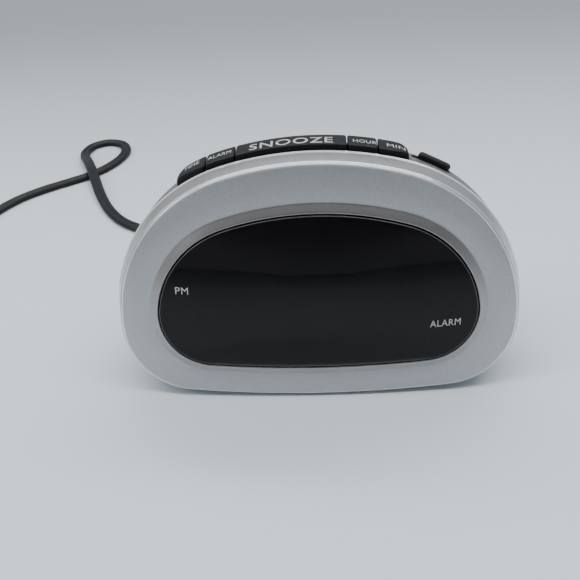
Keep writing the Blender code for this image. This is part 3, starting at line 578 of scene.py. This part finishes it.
def face_ring(share, w=None):
    """Across the face, from the window's band (0) to the crest (1); the face is slightly crowned."""
    if w is None:
        rise = 2.6 if share > 0.45 else 1.3
        w = (-0.7 + rise * (share - 0.45) ** 2) * MM
    return [face_point(ax + BAND_WIDTH * anx + (bx - ax - BAND_WIDTH * anx) * share,
                       az + BAND_WIDTH * anz + (bz - az - BAND_WIDTH * anz) * share, w)
            for (ax, az, anx, anz), (bx, bz, _, _) in zip(LENS_LINE, CREST_LINE)]


def between(loop_a, loop_b, share):
    """The loop that lies a share of the way from one loop to another."""
    return [a.lerp(b, share) for a, b in zip(loop_a, loop_b)]


REAR_EDGE = wall_loop(1.0)


def case_scale(depth):
    """How much the case has shrunk at a depth behind the face: a smooth curve through its taper."""
    stations = [(d * MM, s) for d, s in CASE_TAPER]
    slopes = [(b[1] - a[1]) / (b[0] - a[0]) for a, b in zip(stations, stations[1:])]
    at = [slopes[0]] + [0.5 * (p + q) for p, q in zip(slopes, slopes[1:])] + [slopes[-1]]
    for k, ((d0, s0), (d1, s1)) in enumerate(zip(stations, stations[1:])):
        if depth <= d1:
            span = d1 - d0
            t = max(0.0, (depth - d0) / span)
            return ((2 * t ** 3 - 3 * t ** 2 + 1) * s0 + (t ** 3 - 2 * t ** 2 + t) * span * at[k]
                    + (3 * t ** 2 - 2 * t ** 3) * s1 + (t ** 3 - t ** 2) * span * at[k + 1])
    return stations[-1][1]


def case_loop(depth, inset=0.0, scale=None):
    """An upright section of the case at a depth behind the face, its underside kept flat."""
    scale = case_scale(depth) if scale is None else scale
    points = []
    for edge, (_, _, nx, nz) in zip(REAR_EDGE, CREST_LINE):
        grow = -(CASE_STEP + inset)
        x = (edge.x + grow * nx) * scale
        z = BASE_Z + (edge.z + grow * nz - BASE_Z) * scale
        points.append(Vector((x, FACE_Y + depth, max(z, BASE_Z + inset))))
    return points


def case_front_loop(inset=0.0, back=0.0):
    """The case's front edge, just behind the bezel's leaning rear edge."""
    return [Vector((p.x, edge.y + GAP + back, p.z))
            for p, edge in zip(case_loop(0.0, inset, 1.0), REAR_EDGE)]


def edge_at(x):
    """Point on the upper half of the bezel's rear edge at a place across the clock."""
    upper = sorted((p for p in REAR_EDGE if p.z > FACE_Z), key=lambda p: p.x)
    for a, b in zip(upper, upper[1:]):
        if a.x <= x <= b.x:
            return a.lerp(b, (x - a.x) / (b.x - a.x))
    return upper[0]


# ---------------------------------------------------------------- housing

def build_bezel(mats):
    """A closed skin from the rear edge over wall, crest, face and rim to the window, and back inside."""
    paints = ("silver_paint", "rim_shaded_paint", "edge_highlight_paint", "wall_shaded_paint")
    chamfer_back, chamfer_front = wall_loop(0.10), face_ring(0.962)
    # A band's paint covers the faces from each of its loops to the next. The wall ends in a raised lip.
    bands = (
        ("silver_paint", [wall_loop(1.0, inset * MM) for inset in (0.9, 0.2)]),
        # Near-white rows on the rear edge's lip: painted highlight line.
        ("edge_highlight_paint", [wall_loop(s, inset * MM) for s, inset in (
            (0.995, -0.15), (0.98, -0.27), (0.958, -0.26), (0.95, -0.225), (0.908, -0.04))]),
        # Side wall: the lighter copy of the silver paint, darkened where it faces up: painted light and
        # shade.
        ("wall_shaded_paint", [wall_loop(s) for s in (0.90, 0.80, 0.68, 0.56, 0.44, 0.33, 0.24, 0.17)]),
        # Near-white rows at the rear edge of the crest's chamfer: painted highlight line.
        ("edge_highlight_paint", [wall_loop(s) for s in (0.13, 0.112)]),
        ("silver_paint", [between(chamfer_back, chamfer_front, s) for s in (0.10, 0.30, 0.70)]),
        # Near-white rows at the front edge of the crest's chamfer: painted highlight line.
        ("edge_highlight_paint", [between(chamfer_back, chamfer_front, 0.90), face_ring(0.955), face_ring(0.946)]),
        ("silver_paint", [face_ring(s) for s in (0.93, 0.90, 0.84, 0.76, 0.67, 0.58, 0.49, 0.40, 0.31, 0.22,
                                                 0.14, 0.07, 0.03)]),
        # The rim round the window takes the darker, pinkish paint: painted shade and painted reflection.
        ("rim_shaded_paint", [lens_offset_loop(o * MM, w * MM) for o, w in (
            (3.62, -0.46), (3.42, -0.56), (3.1, -0.78), (2.4, -1.28), (1.7, -1.77), (1.12, -2.17),
            (0.92, -2.30), (0.76, -2.38), (0.60, -2.40))]),
        ("silver_paint", [lens_offset_loop(o * MM, w * MM) for o, w in (
            (0.48, -2.35), (0.41, -2.22), (0.40, -1.9), (0.40, -0.8), (0.40, 0.3))]),
        ("silver_paint", [lens_offset_loop(LENS_FLANGE + 0.6 * MM, w * MM) for w in (0.3, 2.2)]),
        ("silver_paint", [face_ring(0.15, BEZEL_BACK), face_ring(0.72, BEZEL_BACK),
                          wall_loop(0.55, WALL_THICK), wall_loop(0.97, WALL_THICK)]),
    )
    loops = [loop for _, band in bands for loop in band]
    bm = loft(loops, ring=True)
    paint_rows(bm, len(loops[0]), [paints.index(paint) for paint, band in bands for _ in band])
    bezel = finish_mesh("bezel_shell", bm, mats[paints[0]], sharp=50.0)
    for paint in paints[1:]:
        bezel.data.materials.append(mats[paint])
    belongs(bezel, "housing", "silver_paint", "front_bezel")


def lens_surface(share, thick=0.0):
    """A loop of the domed window, a share of the way from its middle to its edge."""
    w = -RIM_HEIGHT - 0.1 * MM - LENS_BULGE * (1.0 - share * share) + thick
    return [face_point(x * share, LENS_MIDDLE + (z - LENS_MIDDLE) * share, w) for x, z, _, _ in LENS_LINE]


def build_lens(mats):
    """The smoked window: a dome with a rounded edge, and the flange that holds it behind the bezel."""
    dome = [lens_surface(0.07 + 0.91 * k / 20) for k in range(21)]
    edge = [lens_offset_loop(o * MM, w * MM - RIM_HEIGHT) for o, w in (
        (-0.50, -0.18), (-0.36, -0.14), (-0.22, -0.04), (-0.15, 0.10), (-0.12, 0.32))]
    flange = [lens_offset_loop(o, w * MM) for o, w in (
        (-0.12 * MM, 0.6), (LENS_FLANGE, 0.6), (LENS_FLANGE, 1.9), (-1.8 * MM, 1.9))]
    hollow = [lens_surface(s, LENS_THICK) for s in (0.93, 0.85, 0.70, 0.50, 0.28)]
    top_w = -RIM_HEIGHT - 0.1 * MM - LENS_BULGE
    bm = domed_loft(dome + edge + flange + hollow, face_point(0.0, LENS_MIDDLE, top_w),
                    face_point(0.0, LENS_MIDDLE, top_w + LENS_THICK))
    # The two rows at the window's edge take the lighter grey: a painted highlight along its rounded edge.
    highlight_rows = 2
    paint_rows(bm, len(dome[0]), [0] * len(dome) + [1] * highlight_rows)
    lens = finish_mesh("window_lens", bm, mats["smoked_lens"], sharp=50.0)
    lens.data.materials.append(mats["lens_edge_highlight"])
    return belongs(lens, "housing", "smoked_lens", "display_lens")


def build_case(mats):
    start, full = case_front_loop(), case_loop(CASE_FULL)
    outer = [case_front_loop(0.25 * MM), case_front_loop(0.07 * MM, 0.10 * MM)]
    outer += [case_front_loop(0.0, 0.3 * MM)]
    outer += [between(start, full, s) for s in (0.3, 0.6, 0.85)]
    outer += [case_loop(d * MM) for d in (22.0, 24.0, 26.0, 28.0, 29.3, 29.75)]
    outer += [case_loop(29.93 * MM, 0.07 * MM), case_loop(SEAM, 0.25 * MM)]
    inner = [case_loop(SEAM, CASE_WALL), case_loop(CASE_FULL, CASE_WALL), case_front_loop(CASE_WALL)]
    case = finish_mesh("case_shell", loft(outer + inner, ring=True), mats["case_paint"])
    slot = prism(stadium(SLOT_LENGTH, SLOT_WIDTH), -8.0 * MM, 4.0 * MM)
    moved(slot, slider_frame() @ Matrix.Translation((SLOT_SHIFT, 0.0, 0.0)))
    door_hole = moved(block(DOOR_HOLE), Matrix.Translation((0.0, FACE_Y + DOOR_BACK, BASE_Z + 1.0 * MM)))
    carve(case, (key_bay(), slot, door_hole))
    belongs(case, "housing", "silver_paint", "main_case")


def key_bay():
    """Cutter for the keys' opening: drawn back at its front ends, round at its rear corners."""
    left, right = KEY_ENDS["time"][0] - BAY_SLACK, KEY_ENDS["minute"][1] + BAY_SLACK
    front, rear = FACE_Y + 8.0 * MM, KEY_REAR_Y + BAY_SLACK
    points = [(left + k * MM, bay_front(left + k * MM)) for k in range(9)]
    points += [(left + 8.5 * MM, front), (right - 5.5 * MM, front)]      # open to the front in between
    points += [(right - k * MM, bay_front(right - k * MM)) for k in range(5, -1, -1)]
    for centre_x, start_angle in ((right - BAY_CORNER, 0.0), (left + BAY_CORNER, 90.0)):
        points += [(centre_x + BAY_CORNER * math.cos(math.radians(a)),
                    rear - BAY_CORNER + BAY_CORNER * math.sin(math.radians(a)))
                   for a in (start_angle + 9.0 * k for k in range(11))]
    return prism(points, *BAY_HEIGHTS)


def bay_front(x):
    """Front edge of the keys' bay where the outer keys draw back."""
    return edge_at(x).y + 0.15 * MM + key_recess(x)


def key_recess(x):
    """How far the fronts of the outer keys draw back from the bezel towards the row's two ends."""
    left, right = KEY_ENDS["time"][0], KEY_ENDS["minute"][1]
    from_left, from_right = (x - left) / (10.0 * MM), (right - x) / (7.0 * MM)
    return 2.7 * MM * max(0.0, 1.0 - from_left) ** 1.7 + 1.5 * MM * max(0.0, 1.0 - from_right) ** 1.7


def slider_frame():
    """Placement on the case's top at the slide switch: +X along its slot, +Z outwards."""
    a, b = edge_at(SLIDER_X - 5.0 * MM), edge_at(SLIDER_X + 5.0 * MM)
    slope = math.atan2(a.z - b.z, b.x - a.x)
    top = edge_at(SLIDER_X).z - CASE_STEP
    return Matrix.Translation((SLIDER_X, SLIDER_Y, top)) @ Matrix.Rotation(slope, 4, "Y")


def build_cover(mats):
    """The rounded back: a shell with two screw bosses, sound slots and the cord's hole."""
    depths = [30.55, 31.2, 32.5] + [34.0 + 1.25 * k for k in range(13)] + [50.2, 51.2, 52.0, 52.6, 53.1]
    depths += [53.45, 53.7, 53.87, 53.96, 54.0]
    outer = [case_loop(30.3 * MM, 0.25 * MM), case_loop(30.37 * MM, 0.07 * MM)]
    outer += [case_loop(d * MM) for d in depths]
    inner = [case_loop(d * MM, CASE_WALL, case_scale((d + 0.4) * MM))
             for d in (51.6, 50.0, 48.0, 45.0, 42.0, 38.0, 34.0, 30.3)]
    panel_z = 22.0 * MM
    bm = domed_loft(inner + outer, Vector((0.0, inner[0][0].y, panel_z)), Vector((0.0, REAR_Y, panel_z)))
    cover = finish_mesh("cover_shell", bm, mats["case_paint"])
    # Boss, screw's head and shank: radius, start behind the seam and length
    bosses, holes = [], []
    for side in (-1, 1):
        for radius, start, length, group in ((4.5, 0.7, 22.0, bosses), (3.3, 4.0, 30.0, holes),
                                             (1.9, -1.0, 30.0, holes)):
            place = Matrix.Translation((side * SCREW_X, FACE_Y + SEAM + start * MM, SCREW_Z)) @ TO_Y
            group.append(moved(rod(radius * MM, 0.0, length * MM), place))
    cord_hole = rod(4.3 * MM, -5.0 * MM, 3.0 * MM)
    holes.append(moved(cord_hole, Matrix.Translation(CORD_EXIT) @ TO_Y))
    for row in range(SOUND_SLOTS):
        slot = prism(stadium(18.0 * MM, 1.6 * MM), -6.0 * MM, 3.0 * MM)
        place = Matrix.Translation((12.0 * MM, REAR_Y, (24.0 + 3.6 * row) * MM)) @ TO_Y
        holes.append(moved(slot, place))
    carve(cover, bosses, "UNION", "MANIFOLD")
    carve(cover, holes, "DIFFERENCE", "MANIFOLD")
    belongs(cover, "housing", "silver_paint", "rear_cover")


def build_feet(mats):
    for name in ("foot_front_left", "foot_front_right", "foot_rear_left", "foot_rear_right"):
        low, high = (Vector(c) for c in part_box(name))
        middle, height = 0.5 * (low + high), high.z - low.z
        wide = 0.5 * (high.x - low.x)
        profile = [(0.0, 0.12 * MM), (1.6 * MM, 0.12 * MM), (2.0 * MM, 0.0), (wide - 0.9 * MM, 0.0),
                   (wide - 0.55 * MM, 0.08 * MM), (wide - 0.28 * MM, 0.3 * MM), (wide - 0.15 * MM, 0.7 * MM),
                   (wide, height - 0.2 * MM), (wide - 0.1 * MM, height), (0.0, height)]
        bm = moved(turned(profile), Matrix.Translation((middle.x, middle.y, low.z)))
        belongs(finish_mesh(name + "_pad", bm, mats["foot_rubber"]), "housing", "foot_rubber", name)


def build_battery_door(mats):
    """The door's plate, with grip ribs under it."""
    low, high = (Vector(c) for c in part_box("battery_door"))
    middle, size = 0.5 * (low + high), high - low
    plate = moved(block(size, 0.45 * MM), Matrix.Translation(middle))
    door = finish_mesh("battery_door_plate", plate, mats["case_paint"])
    belongs(door, "battery_cover", "silver_paint", "battery_door")
    for row in range(DOOR_RIBS):
        rib = loft([[Vector((x * s, y * s, z)) for x, y in stadium(16.0 * MM, 0.9 * MM)]
                    for z, s in ((0.1 * MM, 1.0), (-0.25 * MM, 0.97), (-0.4 * MM, 0.88))])
        moved(rib, Matrix.Translation((0.0, middle.y + (3.0 + 1.7 * row) * MM, low.z)))
        belongs(finish_mesh(f"battery_door_rib_{row}", rib, mats["case_paint"]), "battery_cover",
                "silver_paint")


# ---------------------------------------------------------------- keys and slide switch

def key_section(x, rear_bite, drop, inset):
    """A key's section at a place across: a crowned top with rounded edges over a hidden lip."""
    edge = edge_at(x)
    front, rear = edge.y + 0.5 * MM + key_recess(x) + inset, KEY_REAR_Y - rear_bite - inset
    proud = KEY_PROUD - drop - inset
    depth = rear - front
    points = [(edge.y - 0.9 * MM, KEY_LOW), (edge.y - 0.9 * MM, KEY_LIP), (front, KEY_LIP),
              (front, 0.4 * MM), (front, proud - 0.45 * MM)]
    for angle in (20.0, 45.0, 70.0, 90.0):
        a = math.radians(angle)
        points.append((front + 0.4 * MM * (1 - math.cos(a)), proud - 0.45 * MM + 0.45 * MM * math.sin(a)))
    for share in (0.25, 0.5, 0.75):
        points.append((front + share * depth, proud + 0.35 * MM * share * (1 - share)))
    for angle in (90.0, 65.0, 40.0, 15.0, 0.0):
        a = math.radians(angle)
        points.append((rear - 0.8 * MM * (1 - math.cos(a)), proud - 0.8 * MM + 0.75 * MM * math.sin(a)))
    points += [(rear, KEY_LIP), (KEY_REAR_Y + 1.0 * MM, KEY_LIP), (KEY_REAR_Y + 1.0 * MM, KEY_LOW)]
    return [Vector((x, y, edge.z + z)) for y, z in points]


def key_stations(left, right):
    """Places across a key, close together where its ends are rounded."""
    ends = (0.0, 0.05, 0.15, 0.3, 0.5, 0.8, 1.3, 2.0, 3.0, 4.2)
    count = math.ceil((right - left) / (1.2 * MM))
    inner = [left + (right - left) * k / count for k in range(count + 1)]
    margin = 4.8 * MM
    return ([left + e * MM for e in ends] + [x for x in inner if left + margin < x < right - margin]
            + [right - e * MM for e in reversed(ends)])


def rounding(distance, radius):
    """How far a rounded corner lies inside its square one at a distance from the end."""
    return radius - math.sqrt(radius ** 2 - (radius - distance) ** 2) if distance < radius else 0.0


def build_keys(mats):
    """Each key is skinned across from its sections, its ends rounded, the row's outer corners more so."""
    keys = {}
    for key in KEYS:
        left, right = KEY_ENDS[key]
        loops = []
        for x in key_stations(left, right):
            near = min(x - left, right - x)
            reach = {"time": x - left, "minute": right - x}.get(key, KEY_CORNER)
            inset, bite = rounding(near, KEY_SOFT), rounding(reach, KEY_CORNER)
            loops.append(key_section(x, bite, 0.22 * bite, min(inset, 0.35 * MM)))
        piece = finish_mesh(key + "_key_cap", loft(loops), mats["button_black"], sharp=40.0)
        keys[key] = belongs(piece, key + "_key", "button_black", key + "_button")
    return keys


def build_slider(mats):
    """A low bar with rounded edges over the slot, and the stem that goes down through it."""
    frame_at = slider_frame()
    rings = ((-0.5, 0.0), (0.5, 0.0), (0.85, 0.05), (1.12, 0.20), (1.32, 0.45), (1.42, 0.80))
    loops = [[Vector((x, y, h * MM))
              for x, y in stadium(SLIDER_LENGTH - 2 * i * MM, SLIDER_WIDTH - 2 * i * MM)]
             for h, i in rings]
    cap = moved(loft(loops), frame_at)
    knob = finish_mesh("slide_switch_cap", cap, mats["button_black"], sharp=40.0)
    belongs(knob, "alarm_slider", "button_black", "alarm_slider_knob")
    stem = moved(block((5.0 * MM, 1.1 * MM, 3.9 * MM), 0.1 * MM),
                 frame_at @ Matrix.Translation((0.0, 0.0, -1.85 * MM)))
    belongs(finish_mesh("slide_switch_stem", stem, mats["button_black"]), "alarm_slider", "button_black")


# ---------------------------------------------------------------- legends

def build_legend(name, words, target, place, width, height, mats, body, weight=0.0):
    """Words printed on a piece: flat letters dropped along -Z of their placement onto its surface."""
    curve = bpy.data.curves.new(name, "FONT")
    curve.body = words
    curve.size = 1.0
    curve.offset = weight
    curve.space_character = 1.07
    curve.resolution_u = 4
    curve.extrude = 0.02
    text = bpy.data.objects.new(name + "_text", curve)
    bpy.context.scene.collection.objects.link(text)
    bpy.context.view_layer.update()
    mesh = bpy.data.meshes.new_from_object(text.evaluated_get(bpy.context.evaluated_depsgraph_get()))
    bpy.data.objects.remove(text, do_unlink=True)
    low = [min(v.co[k] for v in mesh.vertices) for k in range(2)]
    high = [max(v.co[k] for v in mesh.vertices) for k in range(2)]
    tree = BVHTree.FromPolygons([target.matrix_world @ v.co for v in target.data.vertices],
                                [p.vertices for p in target.data.polygons])
    down = -place.to_3x3().col[2]
    bm = bmesh.new()
    bm.from_mesh(mesh)
    bmesh.ops.remove_doubles(bm, verts=bm.verts, dist=0.0005)
    for vert in bm.verts:
        x = ((vert.co.x - low[0]) / (high[0] - low[0]) - 0.5) * width
        y = ((vert.co.y - low[1]) / (high[1] - low[1]) - 0.5) * height
        start = place @ Vector((x, y, 15.0 * MM))
        hit, _, _, _ = tree.ray_cast(start, down)
        raised = 0.045 * MM if vert.co.z > 0.0 else 0.012 * MM
        vert.co = hit - down * raised
    piece = finish_mesh(name, bm, mats["legend_print"])
    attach(piece, body)


def build_legends(keys, lens, mats):
    """Names on the keys and two words on the window."""
    # (key, words, width, height, shift across, place behind the face, weight)
    labels = (("time", "TIME", 6.3, 2.3, 1.0, 23.6, 0.0), ("alarm", "ALARM", 8.4, 2.3, 0.2, 22.8, 0.0),
              ("snooze", "SNOOZE", 28.0, 4.2, 0.1, 22.0, 0.004), ("hour", "HOUR", 7.9, 2.3, 0.5, 22.3, 0.0),
              ("minute", "MIN", 6.4, 2.3, 0.4, 22.2, 0.0))
    for key, words, width, height, shift, back, weight in labels:
        left, right = KEY_ENDS[key]
        x = 0.5 * (left + right) + shift * MM
        place = Matrix.Translation((x, FACE_Y + back * MM, edge_at(x).z))
        if key != "snooze":
            slope = math.atan2(edge_at(x - 2 * MM).z - edge_at(x + 2 * MM).z, 4 * MM)
            place = place @ Matrix.Rotation(slope, 4, "Y")
        build_legend(key + "_legend", words, keys[key], place, width * MM, height * MM, mats,
                     key + "_key", weight)
    facing = Matrix.Rotation(math.radians(90.0) - LEAN, 4, "X")
    for name, words, u, v, width, height in (("pm_legend", "PM", -46.4, 10.35, 4.6, 2.5),
                                             ("alarm_on_legend", "ALARM", 43.95, -4.05, 10.7, 2.5)):
        place = Matrix.Translation(face_point(u * MM, v * MM, 0.0)) @ facing
        build_legend(name, words, lens, place, width * MM, height * MM, mats, "housing")


# ---------------------------------------------------------------- cord and plug

def smooth_route(points, spacing):
    """Even points along a Catmull-Rom curve through the route's own points."""
    raw = [Vector(p) * MM for p in points]
    ends = [raw[0] * 2 - raw[1]] + raw + [raw[-1] * 2 - raw[-2]]
    dense = []
    for a, b, c, d in zip(ends, ends[1:], ends[2:], ends[3:]):
        for k in range(12):
            t = k / 12
            dense.append(0.5 * (2 * b + (c - a) * t + (2 * a - 5 * b + 4 * c - d) * t ** 2
                                + (3 * b - a - 3 * c + d) * t ** 3))
    dense.append(raw[-1])
    lengths = [0.0]
    for a, b in zip(dense, dense[1:]):
        lengths.append(lengths[-1] + (b - a).length)
    count = round(lengths[-1] / spacing)
    result, k = [], 0
    for step in range(count + 1):
        target = lengths[-1] * step / count
        while k < len(lengths) - 2 and lengths[k + 1] < target:
            k += 1
        result.append(dense[k].lerp(dense[k + 1], (target - lengths[k]) / (lengths[k + 1] - lengths[k])))
    return result


def coil_points():
    """Turns clockwise from above, two columns wide; each eases over to the next in its last part."""
    low, high = (Vector(c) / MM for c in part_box("cord_coil"))
    centre = 0.5 * (low + high)
    per_turn, ease = 24, 5
    points = []
    for turn, (radius, height) in enumerate(COIL_TURNS):
        after = COIL_TURNS[min(turn + 1, len(COIL_TURNS) - 1)]
        for step in range(per_turn):
            t = max(0.0, (step - (per_turn - ease)) / ease)
            t = t * t * (3 - 2 * t)
            r, z = radius + (after[0] - radius) * t, height + (after[1] - height) * t
            angle = -math.tau * step / per_turn
            points.append((centre.x + r * math.cos(angle), centre.y + r * math.sin(angle), z))
    points.append((centre.x + COIL_OUTER, centre.y, COIL_TURNS[-1][1]))
    return points


def flat_twin_tube(path):
    """Two round cores side by side, lying flat, swept along a path."""
    core = CORD_THICK / 2
    section = [(core + core * math.cos(a), core * math.sin(a))
               for a in (math.radians(-142.0 + 284.0 * k / 10) for k in range(11))]
    section += [(-x, -y) for x, y in section]
    loops = []
    for k, point in enumerate(path):
        ahead = (path[min(k + 1, len(path) - 1)] - path[max(k - 1, 0)]).normalized()
        side = ahead.cross(Vector((0.0, 0.0, 1.0))).normalized()
        up = side.cross(ahead)
        loops.append([point + side * x + up * y for x, y in section])
    return loft(loops)


def build_cord(mats):
    """The whole lead in one piece, from the clock to its plug, with the parts that it carries."""
    path = smooth_route(list(ROUTE) + coil_points() + list(TAIL), 1.5 * MM)
    lead = finish_mesh("mains_lead", flat_twin_tube(path), mats["cord_black"], sharp=70.0)
    belongs(lead, "housing", "cord_black", "power_cord", "cord_coil", "cord_tail")
    pieces = [build_relief(mats), build_tie(mats)] + build_plug(mats)


def build_relief(mats):
    """A sleeve with a flange on both sides of the cover's wall and ribs that taper along the cord."""
    profile = [(0.0, -3.6), (5.2, -3.6), (5.2, -2.6), (3.9, -2.6), (3.9, 0.3), (5.3, 0.3), (5.4, 0.5),
               (5.4, 1.5), (5.1, 1.9), (4.5, 2.1)]
    ribs, first, last = 7, 2.6, RELIEF_LENGTH / MM - 1.4
    pitch = (last - first) / ribs
    for rib in range(ribs):
        at = first + pitch * rib
        radius = 4.6 - 1.1 * rib / (ribs - 1)
        profile += [(radius, at), (radius, at + 0.55 * pitch), (radius - 0.7, at + 0.62 * pitch),
                    (radius - 0.75, at + 0.93 * pitch)]
    profile += [(3.5, last), (3.5, last + 1.1), (3.3, last + 1.4), (0.0, last + 1.4)]
    bm = turned([(r * MM, h * MM) for r, h in profile], 40)
    moved(bm, Matrix.Translation(CORD_EXIT) @ TO_Y)
    relief = finish_mesh("relief_sleeve", bm, mats["cord_black"])
    return belongs(relief, "housing", "cord_black", "strain_relief")


def build_tie(mats):
    """A strap over the coil, rounded at its shoulders."""
    low, high = (Vector(c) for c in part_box("coil_tie"))
    middle = 0.5 * (low + high)
    half, thick, shoulder = 0.5 * (high.x - low.x), 1.0 * MM, 2.4 * MM
    arch = []
    for inset in (0.0, thick):
        radius = shoulder - inset
        line = [(-half + inset, low.z)]
        for centre_x, start in ((-half + shoulder, 180.0), (half - shoulder, 90.0)):
            line += [(centre_x + radius * math.cos(math.radians(start - 15.0 * k)),
                      high.z - shoulder + radius * math.sin(math.radians(start - 15.0 * k)))
                     for k in range(7)]
        line.append((half - inset, low.z))
        arch.append(line)
    section = arch[0] + arch[1][::-1]
    loops = [[Vector((middle.x + x, middle.y + y, z)) for x, z in section]
             for y in (-2.5 * MM, -2.2 * MM, 2.2 * MM, 2.5 * MM)]
    strap = finish_mesh("tie_strap", loft(loops), mats["cord_black"])
    belongs(strap, "housing", "cord_black", "coil_tie")
    return strap


def plug_section(along):
    """Outline of the plug's moulding at a place along it, in millimetres, with its finger ribs."""
    sections = ((0.0, 3.6, 2.9), (1.0, 3.9, 3.2), (4.0, 4.4, 3.6), (6.5, 5.5, 4.3), (9.0, 7.0, 5.2),
                (11.5, 8.4, 5.9), (14.0, 9.6, 6.4), (27.0, 10.4, 6.8), (27.9, 10.3, 6.7), (28.5, 9.8, 6.2))
    for (a, wa, ha), (b, wb, hb) in zip(sections, sections[1:]):
        if a <= along <= b:
            t = (along - a) / (b - a)
            wide, tall = wa + (wb - wa) * t, ha + (hb - ha) * t
    grip = 0.28 * (0.5 - 0.5 * math.cos(math.tau * (along - 14.0) / 2.2)) if 14.0 < along < 25.0 else 0.0
    return [((wide - grip) * math.copysign(abs(math.cos(a)) ** 0.5, math.cos(a)),
             tall * math.copysign(abs(math.sin(a)) ** 0.5, math.sin(a)))
            for a in (math.tau * (j + 0.5) / 56 for j in range(56))]


def build_plug(mats):
    loops = [[PLUG_REAR + Vector((x * MM, -along * MM, z * MM)) for x, z in plug_section(along)]
             for along in (PLUG_LENGTH * k / 69 for k in range(70))]
    body = finish_mesh("plug_shell", loft(loops), mats["cord_black"], sharp=40.0)
    pieces = [belongs(body, "housing", "cord_black", "plug_body")]
    for node in ("plug_blade_left", "plug_blade_right"):
        low, high = (Vector(c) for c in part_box(node))
        middle, size = 0.5 * (low + high), high - low
        blade = finish_mesh(node + "_metal", moved(block(size, 0.4 * MM), Matrix.Translation(middle)),
                            mats["blade_brass"])
        hole = moved(rod(1.6 * MM, -3.0 * MM, 3.0 * MM, 32),
                     Matrix.Translation((middle.x, low.y + 3.4 * MM, middle.z))
                     @ Matrix.Rotation(math.radians(90.0), 4, "Y"))
        carve(blade, (hole,))
        pieces.append(belongs(blade, "housing", "blade_brass", node))
    return pieces


# ---------------------------------------------------------------- everything

def finish_inner_nodes(mats):
    """Inner parts keep their solids and take their slot's material."""
    slots = {row["node"]: row["material_slot"] for row in frame["record"]["subparts"]}
    for name, node in frame["nodes"].items():
        node.data.materials.clear()
        node.data.materials.append(mats[slots[name]])


def main():
    """Builds everything."""
    mats = make_materials()
    build_camera()
    finish_inner_nodes(mats)
    build_cord(mats)
    build_bezel(mats)
    lens = build_lens(mats)
    build_case(mats)
    build_cover(mats)
    build_feet(mats)
    build_battery_door(mats)
    keys = build_keys(mats)
    build_slider(mats)
    build_legends(keys, lens, mats)
    build_stage()


main()
